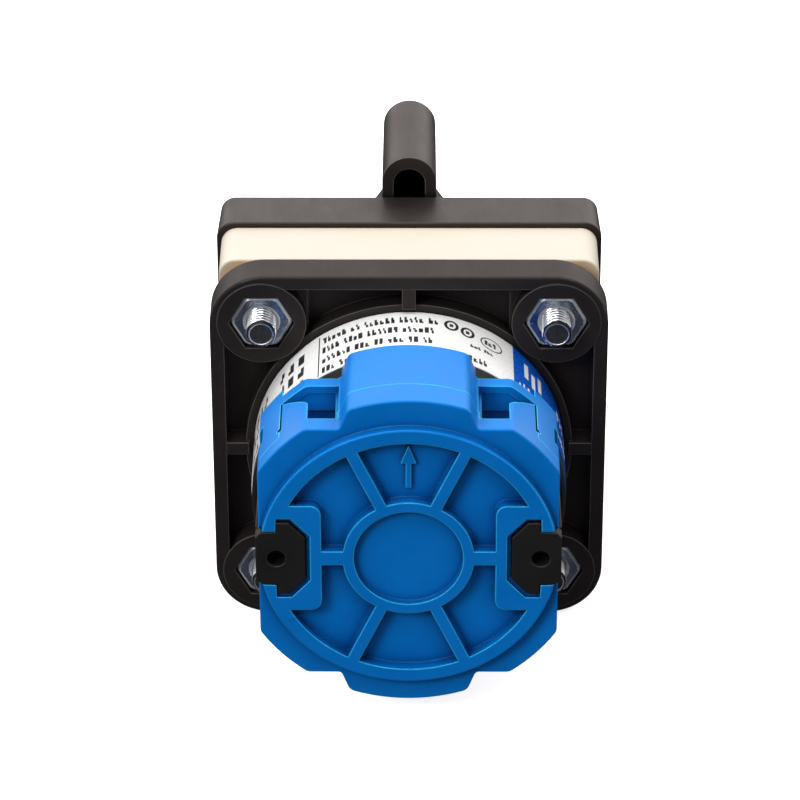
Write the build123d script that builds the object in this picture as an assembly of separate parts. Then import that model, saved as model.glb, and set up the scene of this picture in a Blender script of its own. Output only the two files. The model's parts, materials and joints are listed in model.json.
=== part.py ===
# Rotary isolator switch for panel mounting, 65 mm square front, two poles, one contact stage.
# Frame: millimetres. The origin is on the shaft axis, in the plane of the mounting base's rear face, at the
# centre of the four mounting studs. +Y points to the rear (contact block), so the handle is at -Y. +Z is up
# and +X is to the right for someone who faces the handle. At rest the handle stands upright: contacts open.
from build123d import *
import os
from math import atan, cos, degrees, pi, radians, sin, sqrt

# ---- panel side: base plate, spacer frame, bezel -------------------------------------------------------
STUD_PITCH = 48.0          # square fixing pattern
STUD_R = 2.5               # M5
STUD_SHANK_R = 2.24        # ahead of the tail: the plain shank of a rolled thread
STUD_HOLE_R = 2.75
STUD_TIP_Y = 3.6           # the screws' tails stand this far behind the base
STUD_TIP_CHAMFER = 0.4
NUT_ACROSS_FLATS = 8.4
NUT_THICK = 4.0
NUT_REAR_Y = -0.6
NUT_EDGE_CHAMFER = 0.25
NUT_CORNER_CHAMFER = 0.5
NUT_BORE_R = 2.55
NUT_BORE_CHAMFER = 0.4
NUT_POCKET_FLATS = 9.3

BASE_HALF = 32.5
BASE_CORNER_R = 9.0
BASE_THICK = 6.2
BASE_FLOOR = 1.7           # thickness of the floor behind the pockets
BASE_RIM_WALL = 2.3
BASE_RIM_Y = -0.12         # the screw bosses stand proud of the rim
BASE_EDGE_R = 0.4
BASE_BOSS_R = 7.3
BASE_RIB_WIDTH = 2.2
BASE_RIB_Y = -0.2
BASE_RIB_INNER_R = 26.5
BASE_LEDGE_Y = -2.6        # raised floor beside each boss
BASE_LEDGE_INNER_X = 16.4
BASE_LEDGE_LOW_Z = 21.0
COLLAR_INNER_R = 25.8
COLLAR_OUTER_R = 27.0
COLLAR_Y = -1.0
BASE_CENTRE_HOLE_R = 12.0

FRAME_HALF = 31.2
FRAME_CORNER_R = 2.8
FRAME_FRONT_Y = -19.6
FRAME_STEP_Y = -8.4        # behind this the frame's corners are as round as the base's
FRAME_INNER_CORNER_R = 2.0
FRAME_EDGE_R = 0.35
FRAME_WALL = 3.0
FRAME_POST_R = 5.5
GASKET_OUTER_HALF = 30.0
GASKET_INNER_HALF = 28.8
GASKET_CORNER_R = 7.4
GASKET_GAP = 0.1
GASKET_THICK = 1.0

BEZEL_REAR_HALF = 32.0
BEZEL_FRONT_HALF = 31.6
BEZEL_CORNER_R = 2.9
BEZEL_FRONT_Y = -30.0
BEZEL_FRONT_EDGE_R = 0.9
BEZEL_REAR_EDGE_R = 0.3
BEZEL_WALL = 2.2
BEZEL_FACE_THICK = 2.5
BEZEL_HUB_R = 12.0
BEZEL_POST_R = 6.0
LEGEND_HALF = 29.0
LEGEND_CORNER_R = 2.5
LEGEND_THICK = 0.8
LEGEND_RECESS = 1.0
LEGEND_GAP = 0.2
LEGEND_BORE_GAP = 0.6
SCREW_HEAD_R = 4.4
SCREW_HEAD_THICK = 2.6
SCREW_SLOT_WIDTH = 1.2
SCREW_SLOT_DEPTH = 1.2
SCREW_CLEARANCE = 0.2      # radial, around screws and their heads
THREAD_GAP = 0.05          # radial, where a screw is threaded in

# ---- handle and shaft ----------------------------------------------------------------------------------
HANDLE_REAR_Y = -30.4
HANDLE_FRONT_Y = -52.7
GRIP_R = 4.55              # half width of the grip at its rear edge, and the radius of its ends
GRIP_FRONT_R = 4.45
GRIP_TOP_Z = 38.6
GRIP_BOTTOM_Z = -24.0
GRIP_WALL = 1.9
GRIP_FRONT_WALL = 2.2
HUB_R = 25.8
HUB_FRONT_Y = -38.4
GUSSET_X = 7.6             # gussets slope from the hub's rim to the grip's sides
GUSSET_Z = 29.1
HUB_BOSS_R = 9.0           # journal that turns in the bezel
HUB_BOSS_REAR_Y = -20.0
RUNNING_GAP = 0.05         # radial play of every journal
SEAL_RING_R = 0.8
SEAL_GAP = 0.02
HUB_WALL = 2.5
HUB_EDGE_R = 1.2
GRIP_EDGE_R = 1.1
SHAFT_HALF = 3.0           # square shaft
SHAFT_FRONT_Y = -45.9
SHAFT_REAR_Y = 29.6
SHAFT_FIT = 0.05           # each side of the square shaft in its sockets
HANDLE_SCREW_R = 1.75
HANDLE_SCREW_HEAD_R = 2.6
HANDLE_SCREW_HEAD_THICK = 2.0
HANDLE_SCREW_LENGTH = 9.0
HANDLE_SLOT_HALF = 2.2
HANDLE_CAP_R = 2.75
HANDLE_CAP_THICK = 1.2
HANDLE_CAP_GAP = 0.05
HANDLE_CAP_EDGE_R = 0.3
SHAFT_END_GAP = 0.1
CLIP_RING_Y = -5.5
CLIP_RING_THICK = 0.8
CLIP_RING_OUTER_R = 5.2
CLIP_RING_GROOVE_R = 2.6
CLIP_RING_GAP = 0.05
CLIP_RING_MOUTH = 3.6

# ---- drum with the indexing mechanism ------------------------------------------------------------------
DRUM_R = 25.5
DRUM_FRONT_Y = -4.5
DRUM_REAR_Y = 15.9
DRUM_FLOOR_Y = 1.5
DRUM_CAVITY_R = 20.5
DRUM_CHAMFER = 0.5
JOURNAL_R = 7.0
JOURNAL_END_GAP = 0.15
LABEL_THICK = 0.15
LABEL_FRONT_Y = -0.9
LABEL_REAR_Y = 12.6
LABEL_SEAM_DEG = 4.0
BASE_SCREW_Z = 17.0
BASE_SCREW_R = 1.45
BASE_SCREW_HEAD_R = 2.7
BASE_SCREW_HEAD_THICK = 1.2
BASE_SCREW_TIP_Y = 1.0
STAR_R = 12.0
STAR_FRONT_Y = 3.0
STAR_REAR_Y = 9.0
NOTCH_R = 2.2              # four indexing notches, a quarter turn apart
NOTCH_CENTRE_R = 12.4
LEAF_THICK = 0.4
LEAF_FRONT_Y = 3.5
LEAF_REAR_Y = 8.5
LEAF_NOSE_R = 1.6
LEAF_NOSE_RISE = 0.64      # height of the nose's shoulders above the notch centres
LEAF_END_X = 13.0
LEAF_END_Z = 15.4
LEAF_POST_R = 1.3
LEAF_POST_X = 11.0
LEAF_POST_REAR_Y = 8.8
LEAF_POST_GAP = 0.15
STOP_FRONT_Y = 9.3
STOP_REAR_Y = 11.3
STOP_HUB_R = 9.0
STOP_LUG_R = 15.0
STOP_LUG_DEG = 20.0
STOP_LUG_AT_DEG = 200.0    # the lug's middle at rest, clockwise from the top seen from the front
STOP_GAP_DEG = 0.5
STOP_BLOCK_INNER_R = 12.5
INDEX_COVER_FRONT_Y = 13.8  # this cover rests on the stop blocks
INDEX_COVER_R = 20.3

# ---- contact block -------------------------------------------------------------------------------------
BLOCK_R = 28.2             # round outline, cut flat at the sides and at the terminal shelves
BLOCK_SIDE_X = 23.85
BLOCK_SHELF_Z = 23.0
BLOCK_SOFT_R = 1.6         # rounding where flats and arcs meet
HUMP_FOOT_X = 10.9
HUMP_TIP_X = 8.9
HUMP_CORNER_R = 1.7
HUMP_FOOT_R = 0.8
HUMP_FRONT_Y = 14.1        # humps and corners reach forward over the drum's edge
HUMP_INNER_R = 25.9
CORNER_INNER_X = 20.1
HOUSING_REAR_Y = 28.2
HUMP_STEP_Y = 26.2         # the cover's lip reaches further forward over the humps
FLANGE_Y = 31.55
DISC_R = 23.75
DISC_Y = 33.15
HOUSING_FLOOR_Y = 17.5
CAM_CAVITY_R = 10.7
CHAMBER_HALF_X = 9.9       # contact chambers, above and below the cam
CHAMBER_FRONT_Y = 20.0
CHAMBER_INNER_Z = 10.7
CHAMBER_OUTER_Z = 18.6
SPRING_WELL_Z = 26.6

POCKET_INNER_X = 11.05     # terminal window, cut through the shelf and the round corner
POCKET_OUTER_X = 20.35
POCKET_FRONT_Y = 18.25
POCKET_LIP_DEPTH = 1.3     # below its lip the window is a little wider to the front, narrower inside
POCKET_LOWER_FRONT_Y = 18.1
POCKET_LOWER_INNER_X = 11.55
POCKET_LEDGE = (11.0, 16.4, 17.0, 18.65, 18.4, 19.0)     # x, y and z of the ledge over the terminal room
TERMINAL_ROOM_FRONT_Y = 17.2
TERMINAL_ROOM_Z = (10.7, 19.0)
TERMINAL_ROOM_R = 26.2
NUT_WELL = (11.1, 16.5, 22.0, 7.4)       # inner x, outer x, front y, bottom z
HOOK_INNER_X = 15.9        # snap hook of the rear cover, lying flush in the window
HOOK_OUTER_X = 20.1
HOOK_FRONT_Y = 23.6
HOOK_TIP_Y = 18.6          # its front edge slants forward to here
HOOK_CORNER_R = 0.5
HOOK_WIDE_Y = 26.1
HOOK_THICK = 1.7
EDGE_OVERLAP = 0.02
HOOK_RELIEF_R = 0.4
WIRE_ENTRY_X = 19.5
WIRE_ENTRY_Y = (19.2, 23.9)
WIRE_ENTRY_Z = (10.6, 16.0)

# rear cover face
RING_INNER_R = 21.3
HUB_RING_OUTER_R = 10.45
HUB_RING_INNER_R = 8.7
SECTOR_FLOOR_Y = 31.15
HUB_FLOOR_Y = 31.95
SPOKE_WIDTH = 1.9
SPOKE_DEG = 24.7
LEVEL_SPOKE_WIDTH = 2.55
LAND_INNER_X = 13.85
LAND_HALF_Z = 9.8
LAND_CORNER_R = 1.8
LAND_WIDTH = 12.0
ARROW_TIP_Z = 20.25
ARROW_BARB_Z = 16.95
ARROW_TAIL_Z = 12.5
ARROW_HALF_HEAD = 1.25
ARROW_HALF_SHAFT = 0.43
ARROW_Y = 31.9
COVER_EDGE_R = 0.3
COVER_BORE_R = 5.5
COVER_BORE_Y = 30.6

# retaining clips over the tie screws
CLIP_FRONT_Y = 30.7
CLIP_REAR_Y = 33.2
CLIP_OUTLINE = [           # upper half of the right clip from its outer end inwards
    (24.3, 3.9),
    (23.5, 4.85),
    (20.95, 4.95),
    (20.9, 6.65),
    (18.95, 6.65),
    (16.35, 3.85),
]
CLIP_GAP = 0.12
CLIP_RIM = 0.6             # the cover steps down around the clip
CLIP_RIM_X = 21.0
CLIP_RIM_Y = 32.5
CLIP_STRAP_INNER_X = 23.4
CLIP_STRAP_Z = 4.4
CLIP_HOLE_R = 1.5
CLIP_EDGE_R = 0.2
TIE_X = 21.0
TIE_R = 1.45
TIE_HOLE_R = 1.6
TIE_HEAD_R = 2.3
TIE_HEAD_FRONT_Y = 28.6
TIE_HEAD_REAR_Y = 30.5
TIE_TIP_Y = 3.0
TIE_BOSS_R = 4.0
TIE_SLOT_HALF = 1.3

# ---- cam, plungers and contacts ------------------------------------------------------------------------
CAM_MAX_R = 10.0
CAM_RATE = 1.9             # fall of the cam in mm per radian, either side of its high point
CAM_FRONT_Y = 19.8
CAM_REAR_Y = 26.6
MECHANISM_Y = 23.6         # middle of the bridges and springs
PLUNGER_HALF_X = 3.0
PLUNGER_FRONT_Y = 20.0
PLUNGER_REAR_Y = 27.9
PLUNGER_TOP_Z = 22.4
PLUNGER_GAP = 0.1
NOSE_R = 1.2
NOSE_GAP = 0.12
NOSE_SHOULDER = 2.0
BRIDGE_BOTTOM_Z = 17.0
BRIDGE_THICK = 1.2
BRIDGE_HALF_X = 9.6
BRIDGE_HALF_Y = 2.0
BRIDGE_CORNER_R = 0.8
BRIDGE_WINDOW_TOP_Z = 20.4
BRIDGE_GAP = 0.05
TIP_X = 7.6
MOVING_TIP_R = 1.5
FIXED_TIP_R = 1.6
TIP_THICK = 1.0
CONTACT_SPRING_R = 1.4
RETURN_SPRING_R = 2.0
SPRING_PIN_R = 1.1
SPRING_PIN_LENGTH = 1.2
SPRING_WIRE_R = 0.18
SPRING_SEAT = 0.02
CONTACT_SPRING_TURNS = 3
RETURN_SPRING_TURNS = 5
STRIP_BOTTOM_Z = 10.7
STRIP_THICK = 1.2
STRIP_INNER_X = 6.0
STRIP_OUTER_X = 17.0
STRIP_TERMINAL_Y = (19.5, 27.8)
STRIP_SLOT_GAP = 0.15
TERMINAL_X = 13.75
TERMINAL_Y = 24.9
TERMINAL_R = 1.5
TERMINAL_HEAD_R = 2.5
TERMINAL_HEAD_THICK = 2.2
TERMINAL_HEAD_EDGE_R = 0.4
TERMINAL_SLOT_WIDTH = 0.8
TERMINAL_SLOT_DEPTH = 1.0
TERMINAL_TIP_Z = 7.9
CLAMP_X = (11.2, 16.6)
CLAMP_Y = (19.7, 27.6)
CLAMP_THICK = 1.0
TERMINAL_NUT_HALF = 2.5
TERMINAL_NUT_THICK = 2.2

# derived
STUDS = [(sx * STUD_PITCH / 2, sz * STUD_PITCH / 2) for sx in (-1, 1) for sz in (-1, 1)]
BEZEL_DRAFT_DEG = degrees(atan((BEZEL_REAR_HALF - BEZEL_FRONT_HALF) / (FRAME_FRONT_Y - BEZEL_FRONT_Y)))
GRIP_DRAFT_DEG = degrees(atan((GRIP_R - GRIP_FRONT_R) / (HANDLE_REAR_Y - HANDLE_FRONT_Y)))
LEGEND_REAR_Y = BEZEL_FRONT_Y + LEGEND_RECESS
BEZEL_FACE_REAR_Y = LEGEND_REAR_Y + BEZEL_FACE_THICK
BRIDGE_TOP_Z = BRIDGE_BOTTOM_Z + BRIDGE_THICK
STRIP_TOP_Z = STRIP_BOTTOM_Z + STRIP_THICK
CLAMP_TOP_Z = STRIP_TOP_Z + CLAMP_THICK
OVERCUT = 1.0              # how far a cutting tool runs past the face it cuts
TOUCH = 0.01               # points closer than this are taken as one


# ---- helpers -------------------------------------------------------------------------------------------
def prism(sketch, y0, y1, draft=0.0):
    """A sketch drawn in X and Z, extruded between y0 and y1; with draft it narrows towards the front."""
    front, rear = min(y0, y1), max(y0, y1)
    return extrude(Plane.XZ.offset(-rear) * sketch, amount=rear - front, dir=(0, -1, 0), taper=draft)


def rod(radius, y0, y1, at=(0, 0)):
    return prism(Pos(*at) * Circle(radius), y0, y1)


def post(radius, z0, z1, x, y):
    return Pos(x, y, (z0 + z1) / 2) * Cylinder(radius, z1 - z0)


def box(x0, x1, y0, y1, z0, z1):
    return Pos((x0 + x1) / 2, (y0 + y1) / 2, (z0 + z1) / 2) * Box(x1 - x0, y1 - y0, z1 - z0)


def square(half, corner_r=0.0):
    return RectangleRounded(2 * half, 2 * half, corner_r) if corner_r else Rectangle(2 * half, 2 * half)


def clock(radius, deg):
    """A point in X and Z, clockwise from the top for someone who faces the handle."""
    return radius * sin(radians(deg)), radius * cos(radians(deg))


def sector(inner_r, outer_r, middle_deg, width_deg):
    """A wedge of a ring, as a sketch in X and Z."""
    reach = 2 * outer_r
    edges = [clock(reach, middle_deg + s * width_deg / 2) for s in (1, -1)]
    wedge = Polygon((0, 0), *edges, align=None)
    return wedge & (Circle(outer_r) - Circle(inner_r))


def four_ways(shape):
    """The shape and its mirror images left, right, up and down, keyed by where each one lies."""
    left = mirror(shape, about=Plane.YZ)
    return {
        "upper_right": shape,
        "upper_left": left,
        "lower_right": mirror(shape, about=Plane.XY),
        "lower_left": mirror(left, about=Plane.XY),
    }


def upper_and_lower(shape):
    return {"upper": shape, "lower": mirror(shape, about=Plane.XY)}


def left_and_right(shape):
    return {"right": shape, "left": mirror(shape, about=Plane.YZ)}


# ---- mounting base, spacer frame, gasket and bezel ------------------------------------------------------
def make_mounting_base():
    floor_y = -BASE_THICK + BASE_FLOOR
    inner_half = BASE_HALF - BASE_RIM_WALL
    base = prism(square(BASE_HALF, BASE_CORNER_R), BASE_RIM_Y, -BASE_THICK)
    base = fillet(base.edges().group_by(Axis.Y)[-1], BASE_EDGE_R)
    base -= prism(square(inner_half, BASE_CORNER_R - BASE_RIM_WALL), floor_y, OVERCUT)
    reach = inner_half + OVERCUT
    half = BASE_RIB_WIDTH / 2
    ribs = box(-reach, reach, floor_y, BASE_RIB_Y, -half, half)
    ribs += box(-half, half, floor_y, BASE_RIB_Y, -reach, reach)
    base += ribs - rod(BASE_RIB_INNER_R, floor_y, 0)
    base += rod(COLLAR_OUTER_R, floor_y, COLLAR_Y) - rod(COLLAR_INNER_R, floor_y, COLLAR_Y)
    ledge = box(BASE_LEDGE_INNER_X, STUD_PITCH / 2, floor_y, BASE_LEDGE_Y, BASE_LEDGE_LOW_Z, inner_half)
    for copy in four_ways(ledge).values():
        base += copy
    for stud in STUDS:
        base += rod(BASE_BOSS_R, -BASE_THICK, 0, stud)
    base -= rod(BASE_CENTRE_HOLE_R, -BASE_THICK, floor_y)
    for stud in STUDS:
        pocket = Pos(*stud) * RegularPolygon(NUT_POCKET_FLATS / 2, 6, major_radius=False)
        base -= prism(pocket, NUT_REAR_Y - NUT_THICK, OVERCUT)
        base -= rod(STUD_HOLE_R, -BASE_THICK, 0, stud)
    for side in (-1, 1):
        at = (0, side * BASE_SCREW_Z)
        base -= rod(BASE_SCREW_R + SCREW_CLEARANCE, -BASE_THICK, floor_y, at)
        base -= rod(BASE_SCREW_HEAD_R + SCREW_CLEARANCE, -BASE_THICK, -BASE_THICK + BASE_SCREW_HEAD_THICK, at)
    return base


def make_spacer_frame():
    frame = prism(square(FRAME_HALF, FRAME_CORNER_R), FRAME_STEP_Y, FRAME_FRONT_Y)
    frame = fillet(frame.edges().group_by(Axis.Y)[0] + frame.edges().group_by(Axis.Y)[-1], FRAME_EDGE_R)
    frame += prism(square(FRAME_HALF, BASE_CORNER_R), -BASE_THICK, FRAME_STEP_Y)
    hollow = prism(square(FRAME_HALF - FRAME_WALL, FRAME_INNER_CORNER_R), -BASE_THICK, FRAME_FRONT_Y)
    for stud in STUDS:
        hollow -= rod(FRAME_POST_R, FRAME_FRONT_Y, -BASE_THICK, stud)
    frame -= hollow
    for stud in STUDS:
        frame -= rod(STUD_HOLE_R, FRAME_FRONT_Y, -BASE_THICK, stud)
    return frame - prism(gasket_ring(GASKET_GAP), -BASE_THICK - GASKET_THICK, -BASE_THICK)


def gasket_ring(gap=0.0):
    """The gasket's outline as a sketch, or its groove when a gap is given."""
    outer = square(GASKET_OUTER_HALF + gap, GASKET_CORNER_R + gap)
    wall = GASKET_OUTER_HALF - GASKET_INNER_HALF
    return outer - square(GASKET_INNER_HALF - gap, GASKET_CORNER_R - wall - gap)


def make_panel_gasket():
    return prism(gasket_ring(), -BASE_THICK - GASKET_THICK, -BASE_THICK)


def make_front_bezel():
    bezel = prism(square(BEZEL_REAR_HALF, BEZEL_CORNER_R), FRAME_FRONT_Y, BEZEL_FRONT_Y, BEZEL_DRAFT_DEG)
    bezel = fillet(bezel.edges().group_by(Axis.Y)[0], BEZEL_FRONT_EDGE_R)
    bezel = fillet(bezel.edges().group_by(Axis.Y)[-1], BEZEL_REAR_EDGE_R)
    recess = square(LEGEND_HALF + LEGEND_GAP, LEGEND_CORNER_R + LEGEND_GAP)
    bezel -= prism(recess, LEGEND_REAR_Y, BEZEL_FRONT_Y - OVERCUT)
    inside = square(BEZEL_REAR_HALF - BEZEL_WALL, FRAME_INNER_CORNER_R)
    hollow = prism(inside, FRAME_FRONT_Y, BEZEL_FACE_REAR_Y)
    for stud in STUDS:
        hollow -= rod(BEZEL_POST_R, BEZEL_FACE_REAR_Y, FRAME_FRONT_Y, stud)
    bezel -= hollow
    bezel += rod(BEZEL_HUB_R, BEZEL_FACE_REAR_Y, HUB_BOSS_REAR_Y)
    bezel -= rod(HUB_BOSS_R + RUNNING_GAP, LEGEND_REAR_Y, HUB_BOSS_REAR_Y)
    groove_half = SEAL_RING_R + RUNNING_GAP
    groove_r = HUB_BOSS_R + 2 * SEAL_RING_R + RUNNING_GAP
    bezel -= rod(groove_r, seal_centre_y() - groove_half, seal_centre_y() + groove_half)
    for stud in STUDS:
        bezel -= rod(STUD_HOLE_R, LEGEND_REAR_Y, FRAME_FRONT_Y, stud)
        bezel -= rod(SCREW_HEAD_R + SCREW_CLEARANCE, LEGEND_REAR_Y, LEGEND_REAR_Y + SCREW_HEAD_THICK, stud)
    return bezel


def seal_centre_y():
    return (BEZEL_FACE_REAR_Y + HUB_BOSS_REAR_Y) / 2


def make_shaft_seal():
    """O-ring in the bezel's groove, around the handle's journal."""
    middle_r = HUB_BOSS_R + RUNNING_GAP + SEAL_RING_R
    return Pos(0, seal_centre_y(), 0) * Rot(90, 0, 0) * Torus(middle_r, SEAL_RING_R - SEAL_GAP)


def make_legend_plate():
    plate = prism(square(LEGEND_HALF, LEGEND_CORNER_R), LEGEND_REAR_Y, LEGEND_REAR_Y - LEGEND_THICK)
    return plate - rod(HUB_BOSS_R + LEGEND_BORE_GAP, BEZEL_FRONT_Y, LEGEND_REAR_Y)


def make_mounting_screws():
    """Four long M5 screws; their heads lie under the legend plate and their tails are the rear studs."""
    head_rear_y = LEGEND_REAR_Y + SCREW_HEAD_THICK
    screws = []
    for x, z in STUDS:
        tail = rod(STUD_R, 0, STUD_TIP_Y, (x, z))
        tail = chamfer(tail.edges().group_by(Axis.Y)[-1], STUD_TIP_CHAMFER)
        shank = rod(STUD_SHANK_R, head_rear_y, 0, (x, z))
        head = rod(SCREW_HEAD_R, LEGEND_REAR_Y, head_rear_y, (x, z))
        slot_bottom = LEGEND_REAR_Y + SCREW_SLOT_DEPTH
        head -= box(x - 2 * SCREW_HEAD_R, x + 2 * SCREW_HEAD_R, LEGEND_REAR_Y - OVERCUT, slot_bottom,
                    z - SCREW_SLOT_WIDTH / 2, z + SCREW_SLOT_WIDTH / 2)
        screws.append(tail + shank + head)
    return screws


def make_mounting_nuts():
    """M5 hexagon nuts with both faces chamfered, corners to the left and right."""
    front_y = NUT_REAR_Y - NUT_THICK
    corner_r = NUT_ACROSS_FLATS / 2 / cos(pi / 6)
    hexagon = RegularPolygon(NUT_ACROSS_FLATS / 2, 6, major_radius=False)
    nuts = []
    for stud in STUDS:
        nut = prism(Pos(*stud) * hexagon, front_y, NUT_REAR_Y)
        nut = chamfer(nut.edges().group_by(Axis.Y)[0] + nut.edges().group_by(Axis.Y)[-1], NUT_EDGE_CHAMFER)
        crown = rod(corner_r, front_y, NUT_REAR_Y, stud)
        nut &= chamfer(crown.edges().filter_by(GeomType.CIRCLE), NUT_CORNER_CHAMFER)
        nut -= rod(NUT_BORE_R, front_y, NUT_REAR_Y, stud)
        circles = nut.edges().filter_by(GeomType.CIRCLE)
        bore_rims = circles.filter_by(lambda e: abs(e.radius - NUT_BORE_R) < TOUCH)
        nuts.append(chamfer(bore_rims, NUT_BORE_CHAMFER))
    return nuts


def make_base_screws():
    """Two countersunk-depth screws that hold the drum to the mounting base."""
    head_rear_y = -BASE_THICK + BASE_SCREW_HEAD_THICK
    screws = []
    for side in (-1, 1):
        at = (0, side * BASE_SCREW_Z)
        shank = rod(BASE_SCREW_R, head_rear_y, BASE_SCREW_TIP_Y, at)
        screws.append(shank + rod(BASE_SCREW_HEAD_R, -BASE_THICK, head_rear_y, at))
    return screws


# ---- handle, shaft and what is fixed to it --------------------------------------------------------------
def grip_outline(radius, bottom_z, top_z):
    """Upright slot shape: straight sides and round ends."""
    length = top_z - bottom_z - 2 * radius
    return Pos(0, (top_z + bottom_z) / 2) * Rot(0, 0, 90) * SlotCenterToCenter(length, 2 * radius)


def make_handle():
    outline = grip_outline(GRIP_R, GRIP_BOTTOM_Z, GRIP_TOP_Z)
    grip = prism(outline, HANDLE_REAR_Y, HANDLE_FRONT_Y, GRIP_DRAFT_DEG)
    grip = fillet(grip.edges().group_by(Axis.Y)[0], GRIP_EDGE_R)
    foot_z = sqrt(HUB_R**2 - GUSSET_X**2)
    corners = [(-GUSSET_X, foot_z), (GUSSET_X, foot_z), (GRIP_R, GUSSET_Z), (-GRIP_R, GUSSET_Z)]
    gusset = Polygon(*corners, align=None)
    hub = prism(Circle(HUB_R) + gusset, HUB_FRONT_Y, HANDLE_REAR_Y)
    hub = fillet(hub.edges().group_by(Axis.Y)[0], HUB_EDGE_R)
    handle = grip + hub
    inner_r = GRIP_R - GRIP_WALL
    front_inside_y = HANDLE_FRONT_Y + GRIP_FRONT_WALL
    core = grip_outline(inner_r, HUB_BOSS_R + HUB_WALL, GRIP_TOP_Z - GRIP_FRONT_WALL)
    core += grip_outline(inner_r, GRIP_BOTTOM_Z + GRIP_FRONT_WALL, -HUB_BOSS_R - HUB_WALL)
    handle -= prism(core, front_inside_y, HANDLE_REAR_Y)
    ring = Circle(HUB_R - HUB_WALL) - Circle(HUB_BOSS_R + HUB_WALL) - Rectangle(2 * GRIP_R, 2 * HUB_R)
    handle -= prism(ring, HUB_FRONT_Y + GRIP_FRONT_WALL, HANDLE_REAR_Y)
    handle += rod(HUB_BOSS_R, HANDLE_REAR_Y, HUB_BOSS_REAR_Y)
    handle -= prism(square(SHAFT_HALF + SHAFT_FIT), SHAFT_FRONT_Y - SHAFT_END_GAP, HUB_BOSS_REAR_Y)
    bottom_y = counterbore_bottom_y()
    handle -= rod(HANDLE_CAP_R + HANDLE_CAP_GAP, HANDLE_FRONT_Y - OVERCUT, bottom_y)
    handle -= rod(HANDLE_SCREW_R + SCREW_CLEARANCE, bottom_y, SHAFT_FRONT_Y)
    return handle


def counterbore_bottom_y():
    return HANDLE_FRONT_Y + HANDLE_CAP_THICK + HANDLE_CAP_GAP + HANDLE_SCREW_HEAD_THICK


def make_handle_screw():
    head_rear_y = counterbore_bottom_y()
    head_front_y = head_rear_y - HANDLE_SCREW_HEAD_THICK
    screw = rod(HANDLE_SCREW_HEAD_R, head_front_y, head_rear_y)
    screw += rod(HANDLE_SCREW_R, head_rear_y, head_rear_y + HANDLE_SCREW_LENGTH)
    half = SCREW_SLOT_WIDTH / 2
    for x, z in ((HANDLE_SLOT_HALF, half), (half, HANDLE_SLOT_HALF)):
        screw -= box(-x, x, head_front_y - OVERCUT, head_front_y + SCREW_SLOT_DEPTH, -z, z)
    return screw


def make_handle_cap():
    cap = rod(HANDLE_CAP_R, HANDLE_FRONT_Y, HANDLE_FRONT_Y + HANDLE_CAP_THICK)
    return fillet(cap.edges().group_by(Axis.Y)[0], HANDLE_CAP_EDGE_R)


def make_drive_shaft():
    shaft = prism(square(SHAFT_HALF), SHAFT_FRONT_Y, SHAFT_REAR_Y)
    groove = prism(square(SHAFT_HALF + OVERCUT) - Circle(CLIP_RING_GROOVE_R), CLIP_RING_Y - CLIP_RING_GAP,
                   CLIP_RING_Y + CLIP_RING_THICK + CLIP_RING_GAP)
    thread_end_y = counterbore_bottom_y() + HANDLE_SCREW_LENGTH + OVERCUT
    return shaft - groove - rod(HANDLE_SCREW_R + THREAD_GAP, SHAFT_FRONT_Y, thread_end_y)


def make_retaining_ring():
    ring = Circle(CLIP_RING_OUTER_R) - Circle(CLIP_RING_GROOVE_R + CLIP_RING_GAP)
    mouth = Pos(0, -CLIP_RING_OUTER_R) * Rectangle(CLIP_RING_MOUTH, 2 * CLIP_RING_OUTER_R)
    return prism(ring - mouth, CLIP_RING_Y, CLIP_RING_Y + CLIP_RING_THICK)


def make_detent_wheel():
    """Star wheel with four notches and a front journal."""
    star = Circle(STAR_R)
    for quarter in range(4):
        star -= Pos(*clock(NOTCH_CENTRE_R, 90 * quarter)) * Circle(NOTCH_R)
    wheel = prism(star, STAR_FRONT_Y, STAR_REAR_Y)
    wheel += rod(JOURNAL_R, DRUM_FRONT_Y + JOURNAL_END_GAP, STAR_FRONT_Y)
    return wheel - prism(square(SHAFT_HALF + SHAFT_FIT), DRUM_FRONT_Y, STAR_REAR_Y)


def make_stop_disc():
    """Disc with the lug that meets the drum's stops a quarter turn apart."""
    lug = sector(STOP_HUB_R - OVERCUT, STOP_LUG_R, STOP_LUG_AT_DEG, STOP_LUG_DEG)
    disc = prism(Circle(STOP_HUB_R) + lug, STOP_FRONT_Y, STOP_REAR_Y)
    disc += rod(JOURNAL_R, STOP_REAR_Y, DRUM_REAR_Y - JOURNAL_END_GAP)
    return disc - prism(square(SHAFT_HALF + SHAFT_FIT), STOP_FRONT_Y, DRUM_REAR_Y)


def cam_outline():
    """Twin-lobed oval: each quarter is an even spiral, so the plungers follow the shaft at a fixed ratio."""
    steps = 6
    quarters = []
    for quarter in range(4):
        points = []
        for step in range(steps + 1):
            turn = (quarter + step / steps) * pi / 2
            from_lobe = abs((turn + pi / 2) % pi - pi / 2)
            radius = CAM_MAX_R - CAM_RATE * from_lobe
            points.append((radius * sin(turn), radius * cos(turn)))
        quarters.append(Spline(*points))
    return make_face(Curve() + quarters)


def make_switching_cam():
    cam = prism(cam_outline(), CAM_FRONT_Y, CAM_REAR_Y)
    cam += rod(JOURNAL_R, DRUM_REAR_Y + JOURNAL_END_GAP, CAM_FRONT_Y)
    cam += rod(COVER_BORE_R, CAM_REAR_Y, COVER_BORE_Y - JOURNAL_END_GAP)
    return cam - prism(square(SHAFT_HALF + SHAFT_FIT), DRUM_REAR_Y, SHAFT_REAR_Y + SHAFT_END_GAP)


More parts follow.
